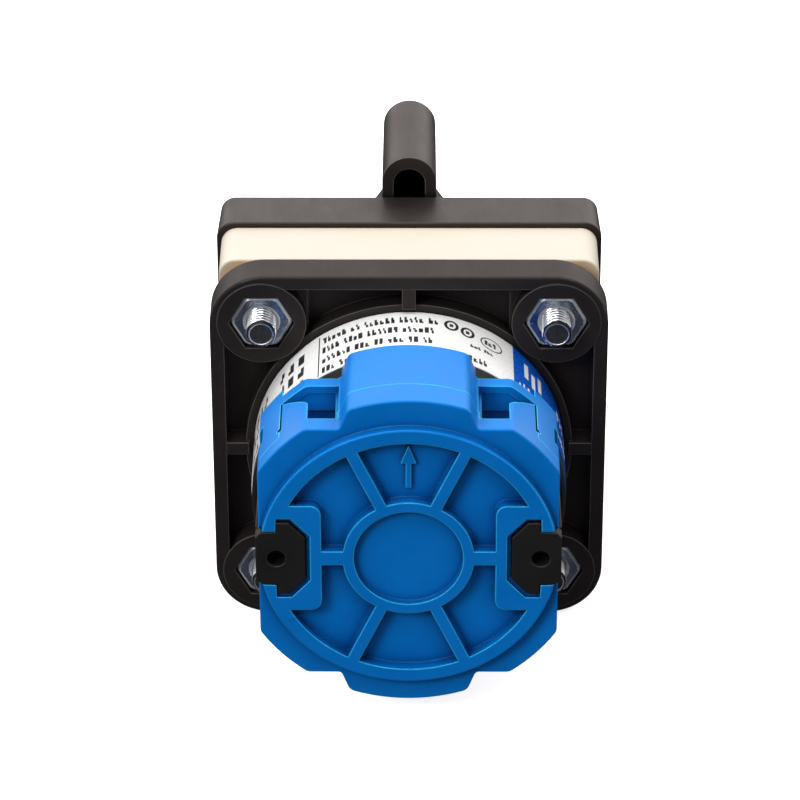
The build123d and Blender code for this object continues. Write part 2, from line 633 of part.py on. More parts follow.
# ---- drum -----------------------------------------------------------------------------------------------
def make_detent_housing():
    drum = rod(DRUM_R, DRUM_FRONT_Y, DRUM_REAR_Y)
    drum = chamfer(drum.edges().group_by(Axis.Y)[-1], DRUM_CHAMFER)
    drum -= rod(DRUM_CAVITY_R, DRUM_FLOOR_Y, DRUM_REAR_Y)
    for side in (-1, 1):
        boss = rod(TIE_BOSS_R, DRUM_FLOOR_Y, DRUM_REAR_Y, (side * TIE_X, 0))
        drum += boss & rod(DRUM_R - DRUM_CHAMFER, DRUM_FLOOR_Y, DRUM_REAR_Y)
        drum -= rod(TIE_R + THREAD_GAP, TIE_TIP_Y - OVERCUT, DRUM_REAR_Y, (side * TIE_X, 0))
        drum -= rod(BASE_SCREW_R + THREAD_GAP, DRUM_FRONT_Y, DRUM_FLOOR_Y, (0, side * BASE_SCREW_Z))
        for x in (-LEAF_POST_X, LEAF_POST_X):
            z = side * (leaf_arm_z(LEAF_POST_X) + LEAF_THICK / 2 + LEAF_POST_R + LEAF_POST_GAP)
            drum += rod(LEAF_POST_R, DRUM_FLOOR_Y, LEAF_POST_REAR_Y, (x, z))
    half_step = STOP_LUG_DEG + STOP_GAP_DEG
    for middle in (STOP_LUG_AT_DEG - half_step, STOP_LUG_AT_DEG + 90 + half_step):
        block = sector(STOP_BLOCK_INNER_R, DRUM_CAVITY_R + OVERCUT, middle, STOP_LUG_DEG)
        drum += prism(block, STOP_FRONT_Y, INDEX_COVER_FRONT_Y)
    return drum - rod(JOURNAL_R + RUNNING_GAP, DRUM_FRONT_Y, DRUM_FLOOR_Y)


def leaf_arm_z(x):
    """Height of the leaf spring's straight arm at x."""
    nose_top = NOTCH_CENTRE_R + LEAF_NOSE_RISE
    return nose_top + (LEAF_END_Z - nose_top) * (x - LEAF_NOSE_R) / (LEAF_END_X - LEAF_NOSE_R)


def make_detent_spring():
    """Upper leaf spring; its bent nose sits in a notch of the star wheel."""
    start, shoulder = (LEAF_END_X, LEAF_END_Z), (LEAF_NOSE_R, leaf_arm_z(LEAF_NOSE_R))
    tip = (0, NOTCH_CENTRE_R - LEAF_NOSE_R)
    path = Curve() + [
        Line(start, shoulder),
        ThreePointArc(shoulder, tip, (-shoulder[0], shoulder[1])),
        Line((-shoulder[0], shoulder[1]), (-start[0], start[1])),
    ]
    return prism(trace(path, LEAF_THICK), LEAF_FRONT_Y, LEAF_REAR_Y)


def make_detent_cover():
    outline = Circle(INDEX_COVER_R)
    for side in (-1, 1):
        outline -= Pos(side * TIE_X, 0) * Circle(TIE_BOSS_R + SCREW_CLEARANCE)
    outline -= Circle(JOURNAL_R + RUNNING_GAP)
    return prism(outline, INDEX_COVER_FRONT_Y, DRUM_REAR_Y)


def make_rating_label():
    sleeve = Circle(DRUM_R + LABEL_THICK) - Circle(DRUM_R)
    sleeve -= sector(DRUM_R - OVERCUT, DRUM_R + OVERCUT, 180, LABEL_SEAM_DEG)
    return prism(sleeve, LABEL_FRONT_Y, LABEL_REAR_Y)


# ---- contact block: housing, rear cover, clips ----------------------------------------------------------
def block_body(inset=0.0):
    """The block's outline without its humps: round, with flat shelves and flat sides."""
    outline = Circle(BLOCK_R - inset) & Rectangle(2 * (BLOCK_SIDE_X - inset), 2 * (BLOCK_SHELF_Z - inset))
    return fillet(outline.vertices(), BLOCK_SOFT_R)


def hump():
    """The upper hump, with sides that lean in a little and rounded outer corners."""
    slope = (HUMP_FOOT_X - HUMP_TIP_X) / (BLOCK_R - BLOCK_SHELF_Z)
    low, high = BLOCK_SHELF_Z - 2, BLOCK_R + 2
    foot, tip = HUMP_FOOT_X + 2 * slope, HUMP_TIP_X - 2 * slope
    shape = Polygon((-foot, low), (foot, low), (tip, high), (-tip, high), align=None) & Circle(BLOCK_R)
    return fillet(shape.vertices().filter_by(lambda v: v.Y > BLOCK_SHELF_Z + 1), HUMP_CORNER_R)


def block_outline():
    outline = block_body() + hump() + mirror(hump(), about=Plane.XZ)
    on_shelf = outline.vertices().filter_by(lambda v: abs(abs(v.Y) - BLOCK_SHELF_Z) < TOUCH)
    return fillet(on_shelf.filter_by(lambda v: abs(v.X) < HUMP_FOOT_X + OVERCUT), HUMP_FOOT_R)


def humps_only(outline):
    """What lies above and below the two shelves."""
    return outline - Rectangle(4 * BLOCK_R, 2 * BLOCK_SHELF_Z)


def make_contact_housing():
    outline = block_outline()
    housing = prism(outline, DRUM_REAR_Y, HOUSING_REAR_Y)
    housing -= prism(humps_only(outline), HUMP_STEP_Y, HOUSING_REAR_Y)
    skirt = humps_only(outline) + (block_body() - Rectangle(2 * CORNER_INNER_X, 2 * BLOCK_R))
    housing += prism(skirt - Circle(HUMP_INNER_R), HUMP_FRONT_Y, DRUM_REAR_Y + OVERCUT)
    housing -= rod(CAM_CAVITY_R, HOUSING_FLOOR_Y, HOUSING_REAR_Y)
    housing -= rod(JOURNAL_R + RUNNING_GAP, DRUM_REAR_Y, HOUSING_FLOOR_Y)
    for cut in upper_and_lower(contact_room()).values():
        housing -= cut
    for cut in four_ways(terminal_cuts()).values():
        housing -= cut
    for cut in left_and_right(strap_channel()).values():
        housing -= cut
    for side in (-1, 1):
        housing -= rod(TIE_HOLE_R, DRUM_REAR_Y, HOUSING_REAR_Y, (side * TIE_X, 0))
    return housing


def contact_room():
    """Upper chamber for the bridge, and the well that guides plunger and return spring."""
    guide = PLUNGER_HALF_X + PLUNGER_GAP
    half = CHAMBER_HALF_X
    chamber = box(-half, half, CHAMBER_FRONT_Y, HOUSING_REAR_Y, CHAMBER_INNER_Z, CHAMBER_OUTER_Z)
    well = box(-guide, guide, PLUNGER_FRONT_Y - PLUNGER_GAP, HOUSING_REAR_Y, 0, SPRING_WELL_Z)
    return chamber + well


def terminal_cuts():
    """All that is cut out for one terminal: window, room, nut well, strip slot and wire entry."""
    outer_z = BLOCK_R
    low_z = TERMINAL_ROOM_Z[0]
    lip = box(POCKET_INNER_X, POCKET_OUTER_X, POCKET_FRONT_Y, HOUSING_REAR_Y, low_z, outer_z)
    lip -= prism(block_body(POCKET_LIP_DEPTH), DRUM_REAR_Y, HOUSING_REAR_Y)
    window = box(POCKET_LOWER_INNER_X, POCKET_OUTER_X, POCKET_LOWER_FRONT_Y, HOUSING_REAR_Y, low_z, outer_z)
    window &= prism(block_body(POCKET_LIP_DEPTH - EDGE_OVERLAP), DRUM_REAR_Y, HOUSING_REAR_Y)
    room = box(POCKET_INNER_X, POCKET_OUTER_X, TERMINAL_ROOM_FRONT_Y, HOUSING_REAR_Y, *TERMINAL_ROOM_Z)
    room &= rod(TERMINAL_ROOM_R, DRUM_REAR_Y, HOUSING_REAR_Y)
    x0, x1, y0, z0 = NUT_WELL
    well = box(x0, x1, y0, HOUSING_REAR_Y, z0, low_z)
    slot_y = MECHANISM_Y - BRIDGE_HALF_Y - STRIP_SLOT_GAP
    slot = box(CHAMBER_HALF_X - OVERCUT, POCKET_INNER_X + OVERCUT, slot_y, HOUSING_REAR_Y,
               STRIP_BOTTOM_Z, STRIP_TOP_Z + STRIP_SLOT_GAP)
    wire_entry = box(WIRE_ENTRY_X, BLOCK_SIDE_X + OVERCUT, *WIRE_ENTRY_Y, *WIRE_ENTRY_Z)
    relief = post(HOOK_RELIEF_R, TERMINAL_ROOM_Z[1] - OVERCUT, outer_z, POCKET_OUTER_X, HOOK_WIDE_Y)
    return lip + window + (room - box(*POCKET_LEDGE)) + well + slot + wire_entry + relief


def strap_channel():
    """Room for the right clip's strap along the side face."""
    half = CLIP_STRAP_Z + CLIP_GAP
    return box(CLIP_STRAP_INNER_X - CLIP_GAP, BLOCK_SIDE_X + 2, DRUM_REAR_Y, CLIP_FRONT_Y, -half, half)


def clip_outline():
    lower = [(x, -z) for x, z in reversed(CLIP_OUTLINE)]
    return Polygon(*CLIP_OUTLINE, *lower, align=None)


def make_rear_cover():
    outline = block_outline()
    cover = prism(outline, HOUSING_REAR_Y, FLANGE_Y)
    cover = fillet(cover.edges().group_by(Axis.Y)[-1], COVER_EDGE_R)
    cover += prism(humps_only(outline), HUMP_STEP_Y, HOUSING_REAR_Y)
    disc = rod(DISC_R, FLANGE_Y - OVERCUT, DISC_Y)
    cover += fillet(disc.edges().group_by(Axis.Y)[-1], COVER_EDGE_R)
    sectors = Circle(RING_INNER_R) - disc_web()
    cover -= prism(sectors, SECTOR_FLOOR_Y, DISC_Y)
    cover -= rod(HUB_RING_INNER_R, HUB_FLOOR_Y, DISC_Y)
    cover += prism(arrow_outline(), SECTOR_FLOOR_Y - OVERCUT, ARROW_Y)
    for hook in four_ways(cover_hook()).values():
        cover += hook
    cover -= rod(COVER_BORE_R + RUNNING_GAP, HOUSING_REAR_Y, COVER_BORE_Y)
    for room in left_and_right(clip_room()).values():
        cover -= room
    return cover


def disc_web():
    """What stays raised inside the disc's rim: hub, spokes and the two lands around the clips."""
    web = Circle(HUB_RING_OUTER_R) + Rectangle(2 * LAND_INNER_X + 1, LEVEL_SPOKE_WIDTH)
    for deg in (SPOKE_DEG, -SPOKE_DEG):
        web += Rot(0, 0, deg) * Rectangle(SPOKE_WIDTH, 3 * RING_INNER_R)
    for side in (-1, 1):
        land = RectangleRounded(LAND_WIDTH, 2 * LAND_HALF_Z, LAND_CORNER_R)
        web += Pos(side * (LAND_INNER_X + LAND_WIDTH / 2), 0) * land
    return web


def arrow_outline():
    corners = [(0, ARROW_TIP_Z), (-ARROW_HALF_HEAD, ARROW_BARB_Z), (ARROW_HALF_HEAD, ARROW_BARB_Z)]
    head = Polygon(*corners, align=None)
    length = ARROW_BARB_Z - ARROW_TAIL_Z
    return head + Pos(0, ARROW_TAIL_Z + length / 2) * Rectangle(2 * ARROW_HALF_SHAFT, length)


def cover_hook():
    """Snap hook of the cover that lies flush in a terminal window; its front edge slants."""
    inner, outer, rear = HOOK_INNER_X, HOOK_OUTER_X, HOUSING_REAR_Y
    outline = Polygon((inner, rear), (inner, HOOK_FRONT_Y), (outer, HOOK_TIP_Y), (outer, rear), align=None)
    inner_corner = outline.vertices().filter_by(lambda v: abs(v.Y - HOOK_FRONT_Y) < TOUCH)
    outline = fillet(inner_corner, HOOK_CORNER_R)
    hook = extrude(outline, amount=BLOCK_R, dir=(0, 0, 1))
    hook += box(HOOK_OUTER_X, POCKET_OUTER_X, HOOK_WIDE_Y + HOOK_RELIEF_R, HOUSING_REAR_Y, 0, BLOCK_R)
    hook &= prism(block_body(), HOOK_TIP_Y, HOUSING_REAR_Y)
    return hook - prism(block_body(HOOK_THICK), HOOK_TIP_Y, HOUSING_REAR_Y)


def clip_room():
    """What the cover leaves free for the right clip and the tie screw under it."""
    grown = offset(clip_outline(), amount=CLIP_GAP)
    room = prism(grown, CLIP_FRONT_Y, DISC_Y)
    rim = offset(clip_outline(), amount=CLIP_GAP + CLIP_RIM, kind=Kind.INTERSECTION)
    rim &= Pos(CLIP_RIM_X / 2, 0) * Rectangle(CLIP_RIM_X, 2 * BLOCK_R)
    room += prism(rim, CLIP_RIM_Y, DISC_Y)
    room += strap_channel()
    room += rod(TIE_HOLE_R, HOUSING_REAR_Y, CLIP_FRONT_Y, (TIE_X, 0))
    return room + rod(TIE_HEAD_R + SCREW_CLEARANCE, TIE_HEAD_FRONT_Y, CLIP_FRONT_Y, (TIE_X, 0))


def make_retaining_clip():
    """Black clip that covers a tie screw and runs forward along the block's side as a strap."""
    clip = prism(clip_outline(), CLIP_FRONT_Y, CLIP_REAR_Y)
    clip = fillet(clip.edges().group_by(Axis.Y)[-1], CLIP_EDGE_R)
    outer_x = CLIP_OUTLINE[0][0]
    strap_y = DRUM_REAR_Y + CLIP_GAP
    clip += box(CLIP_STRAP_INNER_X, outer_x, strap_y, CLIP_FRONT_Y, -CLIP_STRAP_Z, CLIP_STRAP_Z)
    return clip - rod(CLIP_HOLE_R, CLIP_FRONT_Y, CLIP_REAR_Y, (TIE_X, 0))


def make_tie_screws():
    """Long cross-slot screws through cover and housing into the drum."""
    screws = []
    slot_y = TIE_HEAD_REAR_Y - TERMINAL_SLOT_DEPTH
    half = TERMINAL_SLOT_WIDTH / 2
    for x in (-TIE_X, TIE_X):
        screw = rod(TIE_R, TIE_TIP_Y, TIE_HEAD_FRONT_Y, (x, 0))
        screw += rod(TIE_HEAD_R, TIE_HEAD_FRONT_Y, TIE_HEAD_REAR_Y, (x, 0))
        screw -= box(x - TIE_SLOT_HALF, x + TIE_SLOT_HALF, slot_y, TIE_HEAD_REAR_Y, -half, half)
        screw -= box(x - half, x + half, slot_y, TIE_HEAD_REAR_Y, -TIE_SLOT_HALF, TIE_SLOT_HALF)
        screws.append(screw)
    return screws


# ---- plungers, bridges and terminals --------------------------------------------------------------------
def make_plunger():
    """Upper plunger: rounded nose on the cam, window for the bridge, pin for the return spring."""
    nose_z = CAM_MAX_R + NOSE_GAP + NOSE_R
    shoulder_z = nose_z + NOSE_SHOULDER
    right = [(NOSE_R, nose_z), (PLUNGER_HALF_X, shoulder_z), (PLUNGER_HALF_X, PLUNGER_TOP_Z)]
    left = [(-x, z) for x, z in reversed(right)]
    profile = Polygon(*right, *left, align=None) + Pos(0, nose_z) * Circle(NOSE_R)
    plunger = prism(profile, PLUNGER_FRONT_Y, PLUNGER_REAR_Y)
    half_y = BRIDGE_HALF_Y + BRIDGE_GAP
    plunger -= box(-PLUNGER_HALF_X, PLUNGER_HALF_X, MECHANISM_Y - half_y, MECHANISM_Y + half_y,
                   BRIDGE_BOTTOM_Z, BRIDGE_WINDOW_TOP_Z)
    return plunger + post(SPRING_PIN_R, PLUNGER_TOP_Z, PLUNGER_TOP_Z + SPRING_PIN_LENGTH, 0, MECHANISM_Y)


def make_bridge():
    bridge = box(-BRIDGE_HALF_X, BRIDGE_HALF_X, MECHANISM_Y - BRIDGE_HALF_Y, MECHANISM_Y + BRIDGE_HALF_Y,
                 BRIDGE_BOTTOM_Z, BRIDGE_TOP_Z)
    return fillet(bridge.edges().filter_by(Axis.Z), BRIDGE_CORNER_R)


def make_bridge_tips():
    low_z = BRIDGE_BOTTOM_Z - TIP_THICK
    return [post(MOVING_TIP_R, low_z, BRIDGE_BOTTOM_Z, x, MECHANISM_Y) for x in (-TIP_X, TIP_X)]


def make_spring(radius, z0, z1, turns):
    """Coil spring along Z between two seats."""
    length = z1 - z0 - 2 * (SPRING_WIRE_R + SPRING_SEAT)
    coil = Helix(length / turns, length, radius)
    wire = sweep(Plane(origin=coil @ 0, z_dir=coil % 0) * Circle(SPRING_WIRE_R), path=coil)
    return Pos(0, MECHANISM_Y, z0 + SPRING_WIRE_R + SPRING_SEAT) * wire


def make_fixed_contact():
    """Right upper strip: contact end under the bridge, terminal end in the terminal's room."""
    y0, y1 = STRIP_TERMINAL_Y
    strip = box(STRIP_INNER_X, STRIP_OUTER_X, MECHANISM_Y - BRIDGE_HALF_Y, MECHANISM_Y + BRIDGE_HALF_Y,
                STRIP_BOTTOM_Z, STRIP_TOP_Z)
    strip += box(CLAMP_X[0], STRIP_OUTER_X, y0, y1, STRIP_BOTTOM_Z, STRIP_TOP_Z)
    return strip - post(TERMINAL_R + SCREW_CLEARANCE, STRIP_BOTTOM_Z, STRIP_TOP_Z, TERMINAL_X, TERMINAL_Y)


def make_fixed_tip():
    return post(FIXED_TIP_R, STRIP_TOP_Z, STRIP_TOP_Z + TIP_THICK, TIP_X, MECHANISM_Y)


def make_terminal_nut():
    half = TERMINAL_NUT_HALF
    low_z = STRIP_BOTTOM_Z - TERMINAL_NUT_THICK
    nut = Pos(TERMINAL_X, TERMINAL_Y) * box(-half, half, -half, half, low_z, STRIP_BOTTOM_Z)
    return nut - post(TERMINAL_R + THREAD_GAP, low_z, STRIP_BOTTOM_Z, TERMINAL_X, TERMINAL_Y)


def make_terminal_clamp():
    clamp = box(*CLAMP_X, *CLAMP_Y, STRIP_TOP_Z, CLAMP_TOP_Z)
    return clamp - post(TERMINAL_R + SCREW_CLEARANCE, STRIP_TOP_Z, CLAMP_TOP_Z, TERMINAL_X, TERMINAL_Y)


def make_terminal_screw():
    head_top_z = CLAMP_TOP_Z + TERMINAL_HEAD_THICK
    head = post(TERMINAL_HEAD_R, CLAMP_TOP_Z, head_top_z, TERMINAL_X, TERMINAL_Y)
    head = fillet(head.edges().group_by(Axis.Z)[-1], TERMINAL_HEAD_EDGE_R)
    half = TERMINAL_SLOT_WIDTH / 2
    slot = box(-TERMINAL_HEAD_R, TERMINAL_HEAD_R, -half, half, head_top_z - TERMINAL_SLOT_DEPTH, head_top_z)
    head -= Pos(TERMINAL_X, TERMINAL_Y) * slot
    return head + post(TERMINAL_R, TERMINAL_TIP_Z, CLAMP_TOP_Z, TERMINAL_X, TERMINAL_Y)


# ---- all nodes ------------------------------------------------------------------------------------------
def build_nodes():
    nodes = {
        "mounting_base": make_mounting_base(),
        "spacer_frame": make_spacer_frame(),
        "panel_gasket": make_panel_gasket(),
        "front_bezel": make_front_bezel(),
        "legend_plate": make_legend_plate(),
        "shaft_seal": make_shaft_seal(),
        "mounting_screws": make_mounting_screws(),
        "mounting_nuts": make_mounting_nuts(),
        "base_screws": make_base_screws(),
        "detent_housing": make_detent_housing(),
        "detent_cover": make_detent_cover(),
        "rating_label": make_rating_label(),
        "contact_housing": make_contact_housing(),
        "rear_cover": make_rear_cover(),
        "tie_screws": make_tie_screws(),
        "handle": make_handle(),
        "handle_screw": make_handle_screw(),
        "handle_cap": make_handle_cap(),
        "drive_shaft": make_drive_shaft(),
        "retaining_ring": make_retaining_ring(),
        "detent_wheel": make_detent_wheel(),
        "stop_disc": make_stop_disc(),
        "switching_cam": make_switching_cam(),
        "fixed_contact_tips": list(four_ways(make_fixed_tip()).values()),
        "terminal_screws": list(four_ways(make_terminal_screw()).values()),
        "terminal_clamps": list(four_ways(make_terminal_clamp()).values()),
        "terminal_nuts": list(four_ways(make_terminal_nut()).values()),
    }
    for place, strip in four_ways(make_fixed_contact()).items():
        nodes[f"fixed_contact_{place}"] = strip
    for place, clip in left_and_right(make_retaining_clip()).items():
        nodes[f"retaining_clip_{place}"] = clip
    spring_top_z = BRIDGE_WINDOW_TOP_Z
    upper_pieces = {
        "detent_spring": make_detent_spring(),
        "plunger": make_plunger(),
        "bridge": make_bridge(),
        "contact_spring": make_spring(CONTACT_SPRING_R, BRIDGE_TOP_Z, spring_top_z, CONTACT_SPRING_TURNS),
        "return_spring": make_spring(RETURN_SPRING_R, PLUNGER_TOP_Z, SPRING_WELL_Z, RETURN_SPRING_TURNS),
    }
    for name, piece in upper_pieces.items():
        for place, copy in upper_and_lower(piece).items():
            nodes[f"{name}_{place}"] = copy
    nodes["bridge_tips_upper"] = make_bridge_tips()
    nodes["bridge_tips_lower"] = [mirror(tip, about=Plane.XY) for tip in make_bridge_tips()]
    return nodes


os.makedirs("parts", exist_ok=True)
for node_name, shape in build_nodes().items():
    solids = Compound(children=list(shape)) if isinstance(shape, list) else shape
    export_step(solids, f"parts/{node_name}.step")
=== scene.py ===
import json
import math
import random

import bmesh
import bpy
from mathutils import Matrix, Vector


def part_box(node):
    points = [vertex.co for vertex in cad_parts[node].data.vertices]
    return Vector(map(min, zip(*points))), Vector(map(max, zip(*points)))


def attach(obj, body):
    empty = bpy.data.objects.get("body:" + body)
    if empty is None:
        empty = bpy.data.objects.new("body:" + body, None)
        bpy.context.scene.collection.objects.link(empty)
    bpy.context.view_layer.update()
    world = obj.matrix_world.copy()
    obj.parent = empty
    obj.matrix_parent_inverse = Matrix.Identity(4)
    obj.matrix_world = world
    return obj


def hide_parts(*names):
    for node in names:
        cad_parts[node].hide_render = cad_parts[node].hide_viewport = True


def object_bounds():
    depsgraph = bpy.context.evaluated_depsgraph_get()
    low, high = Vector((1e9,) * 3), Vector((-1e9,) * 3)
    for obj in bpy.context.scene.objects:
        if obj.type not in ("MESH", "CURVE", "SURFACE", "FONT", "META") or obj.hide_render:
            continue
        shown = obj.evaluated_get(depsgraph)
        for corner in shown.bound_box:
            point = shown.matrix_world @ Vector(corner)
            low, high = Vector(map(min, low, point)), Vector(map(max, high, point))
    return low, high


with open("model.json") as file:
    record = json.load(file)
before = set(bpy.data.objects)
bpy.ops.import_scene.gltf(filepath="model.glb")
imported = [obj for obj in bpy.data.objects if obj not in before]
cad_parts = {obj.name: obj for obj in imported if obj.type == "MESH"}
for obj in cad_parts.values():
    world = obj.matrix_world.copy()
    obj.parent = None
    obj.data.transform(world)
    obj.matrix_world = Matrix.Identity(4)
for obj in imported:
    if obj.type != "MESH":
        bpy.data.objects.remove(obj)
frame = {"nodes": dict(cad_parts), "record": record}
cad_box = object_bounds()

MM = 0.001
SEED = 7

# ---- camera: from behind and above ---------------------------------------------------------------------
CAMERA_AZIMUTH = 180.29
CAMERA_ELEVATION = 30.86
CAMERA_DISTANCE = 671.5 * MM
CAMERA_TARGET = Vector((1.47, 0.0, 9.53)) * MM
CAMERA_ROLL = -0.1
CAMERA_LENS = 183.7
SENSOR_WIDTH = 36.0


# ---- node helpers --------------------------------------------------------------------------------------
def new_material(name):
    """A material with a Principled shader; returns the material, its tree and the shader."""
    material = bpy.data.materials.new(name)
    material.use_nodes = True
    tree = material.node_tree
    tree.nodes.clear()
    shader = tree.nodes.new("ShaderNodeBsdfPrincipled")
    output = tree.nodes.new("ShaderNodeOutputMaterial")
    tree.links.new(shader.outputs["BSDF"], output.inputs["Surface"])
    return material, tree, shader


def add(tree, kind, values=None, **settings):
    """Adds a node. Values that are sockets are linked, others are set on the node's own sockets."""
    made = tree.nodes.new("ShaderNode" + kind)
    for key, value in settings.items():
        setattr(made, key, value)
    for key, value in (values or {}).items():
        if isinstance(value, bpy.types.NodeSocket):
            tree.links.new(value, made.inputs[key])
        else:
            made.inputs[key].default_value = value
    return made


def plug(tree, shader, **sockets):
    """Links or sets the shader's sockets; an underscore in a name stands for a space."""
    for key, value in sockets.items():
        socket = shader.inputs[key.replace("_", " ")]
        if isinstance(value, bpy.types.NodeSocket):
            tree.links.new(value, socket)
        else:
            socket.default_value = value


def place(tree, stretch=(1, 1, 1)):
    """Object coordinates in millimetres, stretched for a grain that runs along one way."""
    scale = tuple(s / MM for s in stretch)
    coordinates = add(tree, "TexCoord").outputs["Object"]
    return add(tree, "Mapping", {"Vector": coordinates, "Scale": scale}).outputs["Vector"]


def noise(tree, where, size, detail=3.0, rough=0.55):
    """Noise whose grain is about size millimetres."""
    values = {"Vector": where, "Scale": 1 / size, "Detail": detail, "Roughness": rough}
    return add(tree, "TexNoise", values).outputs["Fac"]


def remap(tree, value, low, high, start=0.3, end=0.7):
    values = {"Value": value, "From Min": start, "From Max": end, "To Min": low, "To Max": high}
    return add(tree, "MapRange", values).outputs["Result"]


def math_node(tree, operation, *terms, clamp=False):
    return add(tree, "Math", dict(enumerate(terms)), operation=operation, use_clamp=clamp).outputs["Value"]


def mix(tree, share, first, second):
    """Mixes two colours; index 6 and 7 are the node's colour sockets."""
    made = add(tree, "Mix", {0: share}, data_type="RGBA")
    for index, colour in ((6, first), (7, second)):
        if isinstance(colour, bpy.types.NodeSocket):
            tree.links.new(colour, made.inputs[index])
        else:
            made.inputs[index].default_value = (*colour, 1)
    return made.outputs[2]


EDGE_STRENGTH = 5.0
FLAT_MATCH = 0.985          # above this match of the rounded and the true normal, the face counts as flat


def edges(tree, radius, strength=EDGE_STRENGTH):
    """(how much of an outer edge is here, the normal as if edges were rounded by radius millimetres)."""
    rounded = add(tree, "Bevel", {"Radius": radius * MM}, samples=8).outputs["Normal"]
    flat = add(tree, "NewGeometry").outputs["True Normal"]
    match = add(tree, "VectorMath", {0: rounded, 1: flat}, operation="DOT_PRODUCT").outputs["Value"]
    turned = math_node(tree, "SUBTRACT", FLAT_MATCH, match)
    return math_node(tree, "MULTIPLY", turned, strength, clamp=True), rounded


def openness(tree, reach):
    """1 on open faces and outer edges, falling towards 0 in corners narrower than reach millimetres."""
    return add(tree, "AmbientOcclusion", {"Distance": reach * MM}, samples=6).outputs["AO"]


def bump(tree, height, depth, normal=None):
    """Bump of about depth millimetres on top of a normal."""
    values = {"Height": height, "Strength": 1.0, "Distance": depth * MM}
    if normal is not None:
        values["Normal"] = normal
    return add(tree, "Bump", values).outputs["Normal"]


# ---- materials -----------------------------------------------------------------------------------------
CREVICE_REACH = 1.2
CREVICE_SHADE_SHARE = 0.35           # colour of the painted shade in crevices, as a share of the surface's own, unless a colour is given
EDGE_ROUGHNESS = 0.5
NEUTRAL_SHEEN = (1.0, 1.0, 1.0, 1.0)
WARM_SHEEN = (1.0, 0.88, 0.84, 1.0)
COOL_SHEEN = (0.45, 0.88, 1.0, 1.0)


def moulded_plastic(name, colour, edge_highlight, gloss=0.42, grain=0.12, depth=0.006, edge=0.3, specular=0.5,
                    haze=0.12, deep=None, sheen_tint=NEUTRAL_SHEEN, reach=CREVICE_REACH,
                    edge_strength=EDGE_STRENGTH):
    """Moulded plastic: spark-eroded grain, flow clouds, painted edge highlights, painted crevice shade,
    uneven gloss.

    Lengths are in millimetres; haze is how far the flow clouds stray from the colour.
    """
    material, tree, shader = new_material(name)
    where = place(tree)
    fine = noise(tree, where, grain, 2.0)
    cloud = noise(tree, where, 9.0, 4.0)
    scuff_and_highlight_noise = noise(tree, place(tree, (1, 0.25, 1)), 1.7, 5.0, 0.7)
    edge_mask, rounded = edges(tree, edge, edge_strength)
    darker = tuple(c * (1 - haze) for c in colour)
    lighter = tuple(min(1.0, c * (1 + haze) + 0.002) for c in colour)
    body = mix(tree, remap(tree, cloud, 0, 1), darker, lighter)
    speckled = mix(tree, remap(tree, fine, 0, 0.25, 0.45, 0.75), body, lighter)
    # Painted shade: where ambient occlusion finds crevices narrower than reach, the colour is darkened
    # towards deep.
    open_here = openness(tree, reach)
    deep = deep or tuple(c * CREVICE_SHADE_SHARE for c in colour)
    shaded = mix(tree, remap(tree, open_here, 1, 0, 0.35, 0.95), speckled, deep)
    # Painted highlight: open outer edges are lightened towards the edge highlight colour, in patches.
    highlight_edges = math_node(tree, "MULTIPLY", edge_mask, remap(tree, open_here, 0, 1, 0.58, 0.82))
    patchy_highlight = math_node(tree, "MULTIPLY", highlight_edges, remap(tree, scuff_and_highlight_noise, 0.6, 1.0))
    gloss_map = math_node(tree, "ADD", remap(tree, cloud, gloss - 0.05, gloss + 0.05),
                          remap(tree, scuff_and_highlight_noise, -0.02, 0.05, 0.35, 0.75))
    plug(tree, shader, Base_Color=mix(tree, patchy_highlight, shaded, edge_highlight), Roughness=gloss_map,
         Normal=bump(tree, fine, depth, rounded), Specular_IOR_Level=specular, Specular_Tint=sheen_tint)
    return material


def plated_steel(name, colour, tint, gloss=0.22, grain=0.5, edge=0.15, depth=0.0015, bright=None,
                 metallic=1.0):
    """Zinc or nickel plated steel: cloudy passivation tint, fine tool marks, painted highlights on the edges.
    """
    material, tree, shader = new_material(name)
    where = place(tree)
    cloud = noise(tree, where, 2.2, 4.0)
    marks = noise(tree, where, grain, 6.0, 0.7)
    edge_mask, rounded = edges(tree, edge)
    body = mix(tree, remap(tree, cloud, 0, 1), colour, tint)
    # bright: the colour of the painted highlight on the edges.
    bright = bright or tuple(min(1.0, c * 1.15) for c in colour)
    satin = remap(tree, marks, gloss - 0.05, gloss + 0.08)
    plug(tree, shader, Base_Color=mix(tree, edge_mask, body, bright), Metallic=metallic,
         Roughness=math_node(tree, "MAXIMUM", satin,
                             math_node(tree, "MULTIPLY", edge_mask, EDGE_ROUGHNESS)),
         Normal=bump(tree, marks, depth, rounded))
    return material


def cut_steel_end(name):
    """The dark, crumbly end face of a cut screw."""
    material, tree, shader = new_material(name)
    where = place(tree)
    crumbs = noise(tree, where, 0.3, 6.0, 0.8)
    body = mix(tree, remap(tree, crumbs, 0, 1), (0.008, 0.008, 0.009), (0.07, 0.07, 0.075))
    plug(tree, shader, Base_Color=body, Metallic=0.6, Roughness=remap(tree, crumbs, 0.45, 0.75),
         Normal=bump(tree, crumbs, 0.03))
    return material


def rubber(name):
    """Black elastomer with a fine dull grain."""
    material, tree, shader = new_material(name)
    where = place(tree)
    grain = noise(tree, where, 0.2, 4.0)
    body = mix(tree, remap(tree, grain, 0, 1), (0.008, 0.008, 0.008), (0.02, 0.02, 0.02))
    plug(tree, shader, Base_Color=body, Roughness=remap(tree, grain, 0.65, 0.85),
         Normal=bump(tree, grain, 0.01))
    return material


